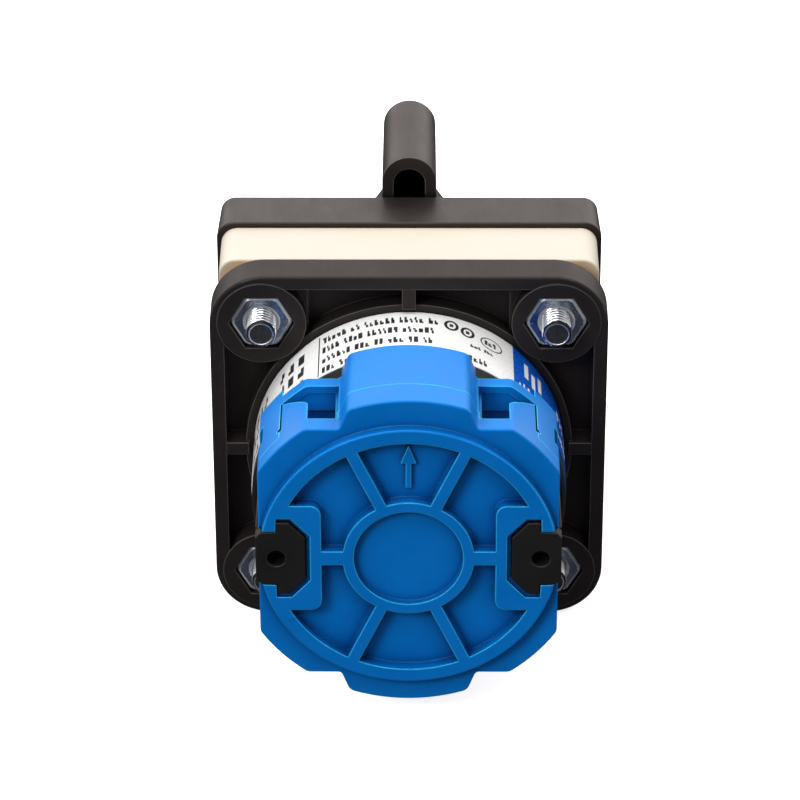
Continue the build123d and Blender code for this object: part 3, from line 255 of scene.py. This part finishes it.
def label_film(name, blue_from, blue_to):
    """Printed film round the drum: white, with a blue field between two clock angles in degrees."""
    material, tree, shader = new_material(name)
    where = place(tree)
    split = add(tree, "SeparateXYZ", {"Vector": where})
    angle = math_node(tree, "ARCTAN2", split.outputs["X"], split.outputs["Z"])
    degrees = math_node(tree, "DEGREES", angle)
    inside = math_node(tree, "MULTIPLY", math_node(tree, "GREATER_THAN", degrees, blue_from),
                       math_node(tree, "LESS_THAN", degrees, blue_to))
    paper = noise(tree, where, 0.35, 3.0)
    wrinkle = noise(tree, place(tree, (1, 0.2, 1)), 3.0, 2.0)
    white = mix(tree, remap(tree, paper, 0, 1), (0.94, 0.94, 0.945), (0.98, 0.98, 0.98))
    blue = mix(tree, remap(tree, paper, 0, 1), (0.001, 0.09, 0.56), (0.002, 0.12, 0.66))
    plug(tree, shader, Base_Color=mix(tree, inside, white, blue), Roughness=remap(tree, paper, 0.24, 0.36),
         Normal=bump(tree, wrinkle, 0.004), Coat_Weight=0.3)
    return material


def ink(name, colour):
    """Printing ink with slightly uneven cover."""
    material, tree, shader = new_material(name)
    cover = noise(tree, place(tree), 0.25, 4.0)
    thin = tuple(min(1.0, c + 0.035) for c in colour)
    plug(tree, shader, Base_Color=mix(tree, remap(tree, cover, 0, 1), colour, thin),
         Roughness=remap(tree, cover, 0.3, 0.45))
    return material


def brushed_plate(name):
    """Anodised legend plate, brushed sideways, with painted highlights on the edges."""
    material, tree, shader = new_material(name)
    streaks = noise(tree, place(tree, (0.03, 1, 1)), 0.12, 5.0, 0.7)
    edge_mask, rounded = edges(tree, 0.15)
    body = mix(tree, remap(tree, streaks, 0, 1), (0.62, 0.63, 0.64), (0.8, 0.81, 0.82))
    plug(tree, shader, Base_Color=mix(tree, edge_mask, body, (0.9, 0.9, 0.9)), Metallic=0.9,
         Roughness=remap(tree, streaks, 0.28, 0.45), Normal=bump(tree, streaks, 0.004, rounded))
    return material


def rolled_copper(name):
    """Copper alloy strip: rolling lines, cloudy tarnish, painted highlights on the edges."""
    material, tree, shader = new_material(name)
    where = place(tree, (0.15, 1, 1))
    rolled = noise(tree, where, 0.2, 5.0, 0.65)
    tarnish = noise(tree, place(tree), 1.6, 4.0)
    edge_mask, rounded = edges(tree, 0.1)
    body = mix(tree, remap(tree, tarnish, 0, 1), (0.86, 0.5, 0.24), (0.7, 0.36, 0.17))
    plug(tree, shader, Base_Color=mix(tree, edge_mask, body, (0.95, 0.66, 0.4)), Metallic=1.0,
         Roughness=remap(tree, rolled, 0.22, 0.4), Normal=bump(tree, rolled, 0.004, rounded))
    return material


LABEL_BLUE_SPAN = (-100.0, -41.4)

# The second colour of each plastic is its painted edge highlight; deep is its painted crevice shade.
BLACK = moulded_plastic("black_plastic", (0.0135, 0.0105, 0.0102), (0.2, 0.182, 0.175), gloss=0.44,
                        specular=0.4, sheen_tint=WARM_SHEEN, edge_strength=8.0)
BASE_BLACK = moulded_plastic("base_plastic", (0.0135, 0.0105, 0.0105), (0.15, 0.136, 0.132), gloss=0.5,
                             specular=0.27, sheen_tint=WARM_SHEEN, edge_strength=8.0)
CLIP_BLACK = moulded_plastic("clip_plastic", (0.009, 0.0085, 0.009), (0.07, 0.068, 0.068), gloss=0.5,
                             specular=0.3)
DRUM_BLACK = moulded_plastic("drum_plastic", (0.006, 0.006, 0.0065), (0.04, 0.04, 0.042), gloss=0.5,
                             specular=0.3)
IVORY = moulded_plastic("ivory_plastic", (0.585, 0.545, 0.475), (1.0, 0.97, 0.92), gloss=0.5, haze=0.02,
                        deep=(0.56, 0.37, 0.19), specular=0.25, reach=4.0)
BLUE = moulded_plastic("blue_plastic", (0.0, 0.182, 0.63), (0.05, 0.7, 1.0), gloss=0.38, haze=0.05,
                       specular=0.28, deep=(0.0, 0.04, 0.19), sheen_tint=COOL_SHEEN, reach=4.0, edge=0.36,
                       edge_strength=10.0, grain=0.28, depth=0.014)
WHITE = moulded_plastic("white_plastic", (0.75, 0.73, 0.68), (0.85, 0.84, 0.8), haze=0.04)
CAM_RED = moulded_plastic("cam_plastic", (0.36, 0.035, 0.02), (0.5, 0.1, 0.07), haze=0.06)
ZINC = plated_steel("zinc_steel", (0.9, 0.91, 0.93), (0.74, 0.79, 0.88), gloss=0.17, edge=0.2)
# The nut's rim is a painted highlight, bright and only partly metallic; its rear face is a painted dark,
# bluish reflection.
NUT_RIM_HIGHLIGHT = plated_steel("nut_rim_highlight", (0.93, 0.94, 0.96), (0.8, 0.83, 0.88), gloss=0.3, metallic=0.35)
NUT_FACE_REFLECTION = plated_steel("nut_face_painted_reflection", (0.36, 0.4, 0.48), (0.2, 0.23, 0.3), gloss=0.22, edge=0.2,
                        bright=(0.97, 0.98, 1.0))
# The thread roots' dark colour is painted shade.
THREAD_ROOT = plated_steel("thread_root_shade", (0.035, 0.026, 0.022), (0.02, 0.015, 0.013), gloss=0.4)
SPRING = plated_steel("spring_steel", (0.42, 0.43, 0.45), (0.34, 0.34, 0.36), gloss=0.3)
BURNISHED = plated_steel("black_steel", (0.03, 0.03, 0.032), (0.018, 0.018, 0.02), gloss=0.4)
SILVER = plated_steel("silver_contact", (0.86, 0.85, 0.83), (0.74, 0.73, 0.71), gloss=0.34)
SCREW_END = cut_steel_end("screw_end")
RUBBER = rubber("seal_rubber")
COPPER = rolled_copper("copper_alloy")
LEGEND = brushed_plate("legend")
LABEL = label_film("label", *LABEL_BLUE_SPAN)
BLACK_INK = ink("black_ink", (0.008, 0.008, 0.009))
WHITE_INK = ink("white_ink", (0.86, 0.87, 0.88))
RED_INK = ink("red_ink", (0.55, 0.01, 0.03))

SLOT_MATERIALS = {
    "black_plastic": BLACK,
    "drum_plastic": DRUM_BLACK,
    "ivory_plastic": IVORY,
    "blue_plastic": BLUE,
    "white_plastic": WHITE,
    "cam_plastic": CAM_RED,
    "legend": LEGEND,
    "label": LABEL,
    "seal_rubber": RUBBER,
    "zinc_steel": ZINC,
    "black_steel": BURNISHED,
    "spring_steel": SPRING,
    "copper_alloy": COPPER,
    "silver_contact": SILVER,
}

NODE_MATERIALS = {
    "mounting_base": BASE_BLACK,
    "retaining_clip_left": CLIP_BLACK,
    "retaining_clip_right": CLIP_BLACK,
}


def dress_cad_nodes():
    """Gives each CAD piece its own material, or its slot's."""
    for part in frame["record"]["subparts"]:
        shown = frame["nodes"][part["node"]]
        shown.data.materials.clear()
        own = NODE_MATERIALS.get(part["node"])
        shown.data.materials.append(own or SLOT_MATERIALS[part["material_slot"]])


# ---- mesh helpers --------------------------------------------------------------------------------------
def piece_from(name, mesh_maker, materials, body):
    """Makes an object from a function that fills a bmesh, and lets it ride on a body."""
    work = bmesh.new()
    mesh_maker(work)
    bmesh.ops.recalc_face_normals(work, faces=work.faces)
    mesh = bpy.data.meshes.new(name)
    work.to_mesh(mesh)
    work.free()
    for material in materials:
        mesh.materials.append(material)
    made = bpy.data.objects.new(name, mesh)
    bpy.context.scene.collection.objects.link(made)
    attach(made, body)
    return made


def ring(work, centre, radii, y):
    """A ring of vertices round an axis along Y; radii gives one radius for each vertex."""
    count = len(radii)
    points = []
    for index, radius in enumerate(radii):
        turn = 2 * math.pi * index / count
        x, z = centre[0] + radius * math.sin(turn), centre[1] + radius * math.cos(turn)
        points.append(work.verts.new((x, y, z)))
    return points


def skin(work, first, second, smooth=True):
    """A band of faces between two rings of the same count."""
    count = len(first)
    for index in range(count):
        after = (index + 1) % count
        face = work.faces.new((first[index], first[after], second[after], second[index]))
        face.smooth = smooth


# ---- threaded screws -----------------------------------------------------------------------------------
STUD_PITCH = 48.0 * MM
STUD_PLACES = [(x, z) for x in (-STUD_PITCH / 2, STUD_PITCH / 2) for z in (-STUD_PITCH / 2, STUD_PITCH / 2)]
THREAD_MAJOR = 2.5 * MM
THREAD_MINOR = 2.02 * MM
THREAD_STEEPNESS = 1.35
THREAD_ROOT_FLAT = 0.12
ROOT_RADIUS = 2.3 * MM      # below this radius the thread gets painted shade, a dark material
THREAD_LEAD = 0.8 * MM
THREAD_SEGMENTS = 48
THREAD_STEPS_PER_TURN = 10
THREAD_START = -8.0 * MM
TIP_RADIUS = 2.07 * MM
TIP_LENGTH = 0.38 * MM
END_RADIUS = 1.84 * MM
END_DEPTH = 0.12 * MM
HEAD_RADIUS = 4.4 * MM
HEAD_THICK = 2.6 * MM
HEAD_TOP_SHARE = 0.93
HEAD_CHAMFER = 0.3 * MM


def thread_radius(y, turn, tip_y):
    """Radius of the thread's surface at a height and a turn angle, with the tip's chamfer."""
    phase = (y / THREAD_LEAD - turn / (2 * math.pi)) % 1.0
    rise = min(1.0, max(0.0, THREAD_STEEPNESS * (1 - abs(2 * phase - 1)) - THREAD_ROOT_FLAT))
    radius = THREAD_MINOR + (THREAD_MAJOR - THREAD_MINOR) * rise
    into_tip = max(0.0, y - (tip_y - TIP_LENGTH)) / TIP_LENGTH
    return min(radius, THREAD_MAJOR + (TIP_RADIUS - THREAD_MAJOR) * into_tip)


def darken_roots(work, centre, count):
    """Gives the newest band's faces the dark root material, painted shade, where they lie deep in the thread.
    """
    work.faces.ensure_lookup_table()
    for face in work.faces[-count:]:
        radius = sum(math.hypot(v.co.x - centre[0], v.co.z - centre[1]) for v in face.verts) / len(face.verts)
        if face.calc_center_median().y > THREAD_START and radius < ROOT_RADIUS:
            face.material_index = 2


def fill_screws(work):
    low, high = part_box("mounting_screws")
    head_y, tip_y = low.y, high.y
    turns = [2 * math.pi * k / THREAD_SEGMENTS for k in range(THREAD_SEGMENTS)]
    steps = int((tip_y - THREAD_START) / THREAD_LEAD * THREAD_STEPS_PER_TURN)
    plain = [
        (HEAD_RADIUS * HEAD_TOP_SHARE, head_y),
        (HEAD_RADIUS, head_y + HEAD_CHAMFER),
        (HEAD_RADIUS, head_y + HEAD_THICK),
        (THREAD_MAJOR, head_y + HEAD_THICK),
        (THREAD_MAJOR, THREAD_START),
    ]
    for centre in STUD_PLACES:
        rings = [ring(work, centre, [r] * THREAD_SEGMENTS, y) for r, y in plain]
        for step in range(1, steps + 1):
            y = THREAD_START + (tip_y - THREAD_START) * step / steps
            rings.append(ring(work, centre, [thread_radius(y, t, tip_y) for t in turns], y))
        for first, second in zip(rings, rings[1:]):
            skin(work, first, second)
            darken_roots(work, centre, THREAD_SEGMENTS)
        work.faces.new(rings[0])
        lip = ring(work, centre, [END_RADIUS] * THREAD_SEGMENTS, tip_y)
        skin(work, rings[-1], lip, smooth=False)
        dish = ring(work, centre, [END_RADIUS] * THREAD_SEGMENTS, tip_y - END_DEPTH)
        skin(work, lip, dish, smooth=False)
        end = work.faces.new(dish)
        end.material_index = 1


def make_screws():
    materials = [ZINC, SCREW_END, THREAD_ROOT]
    screws = piece_from("mounting_screws_threaded", fill_screws, materials, "switch_body")
    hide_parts("mounting_screws")


# ---- hexagon nuts --------------------------------------------------------------------------------------
NUT_APOTHEM = 4.45 * MM
NUT_CORNER_SHARE = 1.1
NUT_CHAMFER = 0.42 * MM
NUT_CHAMFER_DEPTH = 0.3 * MM
NUT_BORE = 2.52 * MM
NUT_SINK = 3.05 * MM
NUT_SEGMENTS = 72


def hexagon(work, centre, apothem, y):
    """A ring in the shape of a hexagon with a flat on top and rounded corners."""
    radii = []
    for index in range(NUT_SEGMENTS):
        turn = 2 * math.pi * index / NUT_SEGMENTS
        off_flat = (turn + math.pi / 6) % (math.pi / 3) - math.pi / 6
        radii.append(apothem * min(1 / math.cos(off_flat), NUT_CORNER_SHARE))
    return ring(work, centre, radii, y)


def fill_nuts(work):
    low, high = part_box("mounting_nuts")
    outline = [
        (NUT_APOTHEM - NUT_CHAMFER, low.y),
        (NUT_APOTHEM, low.y + NUT_CHAMFER_DEPTH),
        (NUT_APOTHEM, high.y - NUT_CHAMFER_DEPTH),
        (NUT_APOTHEM - NUT_CHAMFER, high.y),
    ]
    bore = [
        (NUT_SINK, high.y),
        (NUT_BORE, high.y - NUT_CHAMFER),
        (NUT_BORE, low.y + NUT_CHAMFER),
        (NUT_SINK, low.y),
    ]
    for centre in STUD_PLACES:
        outer = [hexagon(work, centre, apothem, y) for apothem, y in outline]
        inner = [ring(work, centre, [radius] * NUT_SEGMENTS, y) for radius, y in bore]
        loop = outer + inner
        for first, second in zip(loop, loop[1:] + loop[:1]):
            skin(work, first, second, smooth=False)
            # The flat rear face takes the second material: the painted dark reflection.
            if first is outer[-1]:
                work.faces.ensure_lookup_table()
                for face in work.faces[-NUT_SEGMENTS:]:
                    face.material_index = 1


def make_nuts():
    nuts = piece_from("mounting_nuts_chamfered", fill_nuts, [NUT_RIM_HIGHLIGHT, NUT_FACE_REFLECTION], "switch_body")
    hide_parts("mounting_nuts")


# ---- printed marks on the label ------------------------------------------------------------------------
LABEL_LIFT = 0.02 * MM
ARC_STEP = 2.0
STROKE_STEPS = 24

# Places on the label: clock angles in degrees from the top, lengths along the shaft in millimetres.
DIVIDER = (34.3, 34.8, -0.2, 12.4)
# (first angle, last angle, place along the shaft, height, width of a block, gap, seed)
BLACK_ROWS = [
    (33.0, -11.0, 1.6, 1.8, 1.6, 0.6, SEED),
    (33.0, -11.0, 4.7, 1.8, 1.6, 0.6, SEED + 1),
    (33.0, -9.0, 7.9, 1.8, 1.6, 0.6, SEED + 2),
    (33.0, -9.0, 11.0, 1.8, 1.6, 0.6, SEED + 3),
    (-28.6, -34.6, 3.4, 1.4, 1.6, 0.4, SEED + 11),
    (-22.8, -33.5, 6.4, 0.9, 1.3, 0.3, SEED + 12),
    (-22.0, -31.5, 10.4, 1.6, 1.7, 0.6, SEED + 13),
]
SIDE_ROW_PLACES = (3.0, 7.0, 11.0)
# The same without the place: each of these is printed at every side row place.
SIDE_ROWS = [
    (41.5, 57.0, 2.7, 3.2, 2.4, SEED + 20),
    (64.0, 84.0, 2.6, 3.0, 2.0, SEED + 30),
    (92.0, 168.0, 1.8, 1.9, 0.6, SEED + 40),
    (-104.0, -168.0, 1.8, 1.9, 0.6, SEED + 50),
]
WHITE_ROWS = [
    (-44.0, -52.0, 9.6, 2.0, 2.0, 0.7, SEED + 62),
    (-70.0, -94.0, 3.2, 2.4, 2.8, 1.0, SEED + 63),
    (-70.0, -94.0, 8.6, 1.8, 2.2, 0.8, SEED + 64),
]
RINGS = ((-15.6, 1.9), (-21.8, 2.7))
RING_SIZE = (2.2, 1.3, 0.5)         # half width in degrees, half height and stroke in millimetres
RING_CENTRE = (0.7, 0.45)           # half width in degrees, half height in millimetres
OVAL = (-31.5, 3.4, 4.4, 1.7, 0.25)
BARS = ((-47.0, 1.6), (-51.0, 2.8), (-55.0, 1.6))
BAR_SIZE = (2.2, 4.4)
RED_DOT = (-57.5, -60.5, 7.4, 8.6)

BLOCK_WIDTHS = (0.7, 1.0)           # shares of the width of a block
LOW_BLOCKS = 0.3                    # this share of the blocks is lower, by this share of the height
NOTCHES = (0.0, 0.35, 0.5)
NOTCH_MIDDLES = (0.35, 0.65)
INDENTS = (0.0, 0.0, 0.35)
WORD_GAP = 0.8                      # share of the width of a block
LETTERS_FIRST = (3, 6)
LETTERS_LATER = (2, 6)


def label_radius():
    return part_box("rating_label")[1].x + LABEL_LIFT


def patch(work, deg0, deg1, y0, y1):
    """A thin printed patch on the label, between two clock angles and two places along the shaft."""
    radius = label_radius()
    steps = max(1, math.ceil(abs(deg1 - deg0) / ARC_STEP))
    columns = []
    for step in range(steps + 1):
        turn = math.radians(deg0 + (deg1 - deg0) * step / steps)
        x, z = radius * math.sin(turn), radius * math.cos(turn)
        columns.append((work.verts.new((x, y0, z)), work.verts.new((x, y1, z))))
    for (a, b), (c, d) in zip(columns, columns[1:]):
        work.faces.new((a, b, d, c))


def oval_stroke(work, deg, y, half_deg, half_y, width):
    """An ellipse's outline, as a printed stroke."""
    radius = label_radius()
    points = []
    for step in range(STROKE_STEPS + 1):
        turn = 2 * math.pi * step / STROKE_STEPS
        pair = []
        for grow in (-width / 2, width / 2):
            grow_deg = math.degrees(grow / radius)
            at = math.radians(deg + (half_deg + grow_deg) * math.cos(turn))
            along = y + (half_y + grow) * math.sin(turn)
            pair.append(work.verts.new((radius * math.sin(at), along, radius * math.cos(at))))
        points.append(pair)
    for (a, b), (c, d) in zip(points, points[1:]):
        work.faces.new((a, b, d, c))


def dummy_words(work, deg_from, deg_to, y, height, letter, gap, seed):
    """A row of small blocks in the rhythm of words: it stands for print and spells nothing."""
    pick = random.Random(seed)
    at, way = deg_from, -1 if deg_to < deg_from else 1
    left_in_word = pick.randint(*LETTERS_FIRST)
    while way * (deg_to - at) > letter:
        wide = letter * pick.uniform(*BLOCK_WIDTHS)
        top_y, foot_y = y - height / 2, y + height / 2
        if pick.random() < LOW_BLOCKS:
            top_y += height * LOW_BLOCKS
        notch = pick.choice(NOTCHES)
        middle = top_y + (foot_y - top_y) * pick.uniform(*NOTCH_MIDDLES)
        patch(work, at, at + way * wide * (1 - notch), top_y, middle)
        patch(work, at + way * wide * pick.choice(INDENTS), at + way * wide, middle, foot_y)
        at += way * (wide + gap)
        left_in_word -= 1
        if left_in_word == 0:
            at += way * letter * WORD_GAP
            left_in_word = pick.randint(*LETTERS_LATER)


def word_rows(work, rows):
    for deg_from, deg_to, y, height, letter, gap, seed in rows:
        dummy_words(work, deg_from, deg_to, y * MM, height * MM, letter, gap, seed)


def fill_black_print(work):
    deg0, deg1, y0, y1 = DIVIDER
    patch(work, deg0, deg1, y0 * MM, y1 * MM)
    half_deg, half_y, width = RING_SIZE
    centre_deg, centre_y = RING_CENTRE
    for deg, y in RINGS:
        oval_stroke(work, deg, y * MM, half_deg, half_y * MM, width * MM)
        patch(work, deg - centre_deg, deg + centre_deg, (y - centre_y) * MM, (y + centre_y) * MM)
    deg, y, half_deg, half_y, width = OVAL
    oval_stroke(work, deg, y * MM, half_deg, half_y * MM, width * MM)
    word_rows(work, BLACK_ROWS)
    for row, y in enumerate(SIDE_ROW_PLACES):
        word_rows(work, [(deg_from, deg_to, y, height, letter, gap, seed + row)
                         for deg_from, deg_to, height, letter, gap, seed in SIDE_ROWS])


def fill_white_print(work):
    """Slanting bars and small blocks on the label's blue field."""
    bar_deg, bar_length = BAR_SIZE
    for deg, y in BARS:
        patch(work, deg, deg - bar_deg, y * MM, (y + bar_length) * MM)
    word_rows(work, WHITE_ROWS)


def fill_red_print(work):
    deg0, deg1, y0, y1 = RED_DOT
    patch(work, deg0, deg1, y0 * MM, y1 * MM)


def make_label_print():
    for name, filler, material in (
        ("label_print_black", fill_black_print, BLACK_INK),
        ("label_print_white", fill_white_print, WHITE_INK),
        ("label_print_red", fill_red_print, RED_INK),
    ):
        piece_from(name, filler, [material], "switch_body")


# ---- marks on the front --------------------------------------------------------------------------------
PRINT_THICK = 0.03 * MM
FIGURE_SIZE = 4.2 * MM
FIGURE_X = 10.6 * MM
FIGURE_Z = 26.9 * MM
POINTER_LENGTH = 9.0 * MM
POINTER_WIDTH = 1.3 * MM
POINTER_INSET = 3.2 * MM     # from the grip's end
CORNER_STEPS = 6


def figure(name, text, x, z, y):
    """A position figure, facing the front."""
    curve = bpy.data.curves.new(name, "FONT")
    curve.body = text
    curve.size = FIGURE_SIZE
    curve.align_x = "CENTER"
    curve.align_y = "CENTER"
    curve.extrude = PRINT_THICK
    curve.materials.append(BLACK_INK)
    made = bpy.data.objects.new(name, curve)
    made.rotation_euler = (math.pi / 2, 0, 0)
    made.location = (x, y, z)
    bpy.context.scene.collection.objects.link(made)
    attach(made, "switch_body")


def slab(work, x0, x1, z0, z1, y0, y1):
    """A thin strip of print with round ends, facing the front."""
    reach = min(x1 - x0, z1 - z0) / 2
    corners = [(x1 - reach, z1 - reach, 0), (x0 + reach, z1 - reach, 90), (x0 + reach, z0 + reach, 180),
               (x1 - reach, z0 + reach, 270)]
    outline = []
    for cx, cz, start in corners:
        for step in range(CORNER_STEPS + 1):
            turn = math.radians(start + 90 * step / CORNER_STEPS)
            outline.append((cx + reach * math.cos(turn), cz + reach * math.sin(turn)))
    front = [work.verts.new((x, y0, z)) for x, z in outline]
    back = [work.verts.new((x, y1, z)) for x, z in outline]
    work.faces.new(front)
    work.faces.new(list(reversed(back)))
    skin(work, front, back, smooth=False)


def make_front_marks():
    plate_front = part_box("legend_plate")[0].y
    figure("figure_0", "0", -FIGURE_X, FIGURE_Z, plate_front)
    figure("figure_1", "1", FIGURE_Z, FIGURE_X, plate_front)
    low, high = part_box("handle")
    top = high.z - POINTER_INSET

    def fill_pointer(work):
        half = POINTER_WIDTH / 2
        slab(work, -half, half, top - POINTER_LENGTH, top, low.y - PRINT_THICK, low.y)

    piece_from("handle_pointer", fill_pointer, [WHITE_INK], "rotor")


# ---- studio --------------------------------------------------------------------------------------------
FLOOR_SIZE = 6.0
FLOOR_SHADE = (0.93, 0.93, 0.93)
FLOOR_DARKER = 0.985
FLOOR_CLOUD = 40.0
FLOOR_GLOW = 0.75
SKY_UP = (0.46, 0.46, 0.47, 1.0)
SKY_DOWN = (0.10, 0.10, 0.11, 1.0)
HORIZON = (-0.25, 0.15)     # the sky goes from its lower to its upper colour between these heights
CLIP_START = 0.01

WHITE_LIGHT = (1.0, 1.0, 1.0)
WARM_LIGHT = (1.0, 0.93, 0.9)
SUN_LIGHT = (1.0, 0.985, 0.93)
# (name, place, width, height, power, colour); each one is aimed at the origin
LIGHTS = [
    ("key_light", (0.85, 1.05, 1.0), 0.5, 0.5, 11.0, WHITE_LIGHT),
    ("top_light", (0.15, 0.2, 1.4), 0.9, 0.9, 13.6, SUN_LIGHT),
    ("back_light", (0.0, -1.25, 0.55), 3.0, 1.3, 18.0, WARM_LIGHT),
    ("front_fill", (-0.9, -0.9, 1.1), 0.7, 0.7, 4.0, WHITE_LIGHT),
    ("right_strip", (-1.0, -0.35, 0.35), 0.5, 0.9, 3.0, WARM_LIGHT),
    ("left_strip", (1.0, -0.35, 0.35), 0.5, 0.9, 3.0, WARM_LIGHT),
]


def make_floor():
    """Pale floor, lit a little from below like a light table, so that it stays clear under the object."""
    mesh = bpy.data.meshes.new("floor")
    half, z = FLOOR_SIZE / 2, cad_box[0].z
    corners = [(-half, -half, z), (half, -half, z), (half, half, z), (-half, half, z)]
    mesh.from_pydata(corners, [], [(0, 1, 2, 3)])
    material, tree, shader = new_material("floor")
    shade = noise(tree, place(tree), FLOOR_CLOUD, 2.0)
    darker = tuple(c * FLOOR_DARKER for c in FLOOR_SHADE)
    plug(tree, shader, Base_Color=mix(tree, remap(tree, shade, 0, 1), darker, FLOOR_SHADE), Roughness=0.9,
         Specular_IOR_Level=0.0, Emission_Color=(*FLOOR_SHADE, 1.0), Emission_Strength=FLOOR_GLOW)
    mesh.materials.append(material)
    floor = bpy.data.objects.new("floor", mesh)
    floor.visible_glossy = False
    floor.visible_diffuse = False
    bpy.context.scene.collection.objects.link(floor)


def softbox(name, place_at, width, height, power, colour):
    """A rectangular lamp aimed at the origin."""
    light = bpy.data.lights.new(name, "AREA")
    light.shape = "RECTANGLE"
    light.size, light.size_y = width, height
    light.energy = power
    light.color = colour
    made = bpy.data.objects.new(name, light)
    made.location = place_at
    made.rotation_euler = (-Vector(place_at)).to_track_quat("-Z", "Y").to_euler()
    bpy.context.scene.collection.objects.link(made)


def make_world():
    """Soft even light from above the horizon, little from below it."""
    world = bpy.data.worlds.new("studio")
    world.use_nodes = True
    tree = world.node_tree
    background = tree.nodes["Background"]
    split = add(tree, "SeparateXYZ", {"Vector": add(tree, "TexCoord").outputs["Generated"]})
    low, high = HORIZON
    blend = add(tree, "MapRange", {"Value": split.outputs["Z"], "From Min": low, "From Max": high})
    sky = add(tree, "Mix", {0: blend.outputs["Result"], 6: SKY_DOWN, 7: SKY_UP}, data_type="RGBA")
    tree.links.new(sky.outputs[2], background.inputs["Color"])
    bpy.context.scene.world = world


def make_lights():
    make_world()
    for light in LIGHTS:
        softbox(*light)


def make_camera():
    """Aims at the target along the azimuth and elevation, with a slight roll."""
    data = bpy.data.cameras.new("camera")
    data.lens = CAMERA_LENS
    data.sensor_width = SENSOR_WIDTH
    data.clip_start = CLIP_START
    camera = bpy.data.objects.new("camera", data)
    azimuth, elevation = math.radians(CAMERA_AZIMUTH), math.radians(CAMERA_ELEVATION)
    back = Vector((math.sin(azimuth) * math.cos(elevation), -math.cos(azimuth) * math.cos(elevation),
                   math.sin(elevation)))
    camera.location = CAMERA_TARGET + back * CAMERA_DISTANCE
    camera.rotation_euler = (-back).to_track_quat("-Z", "Y").to_euler()
    camera.rotation_euler.rotate_axis("Z", math.radians(CAMERA_ROLL))
    bpy.context.scene.collection.objects.link(camera)
    bpy.context.scene.camera = camera


dress_cad_nodes()
make_screws()
make_nuts()
make_label_print()
make_front_marks()
make_floor()
make_lights()
make_camera()
bpy.context.scene.view_settings.view_transform = "Standard"
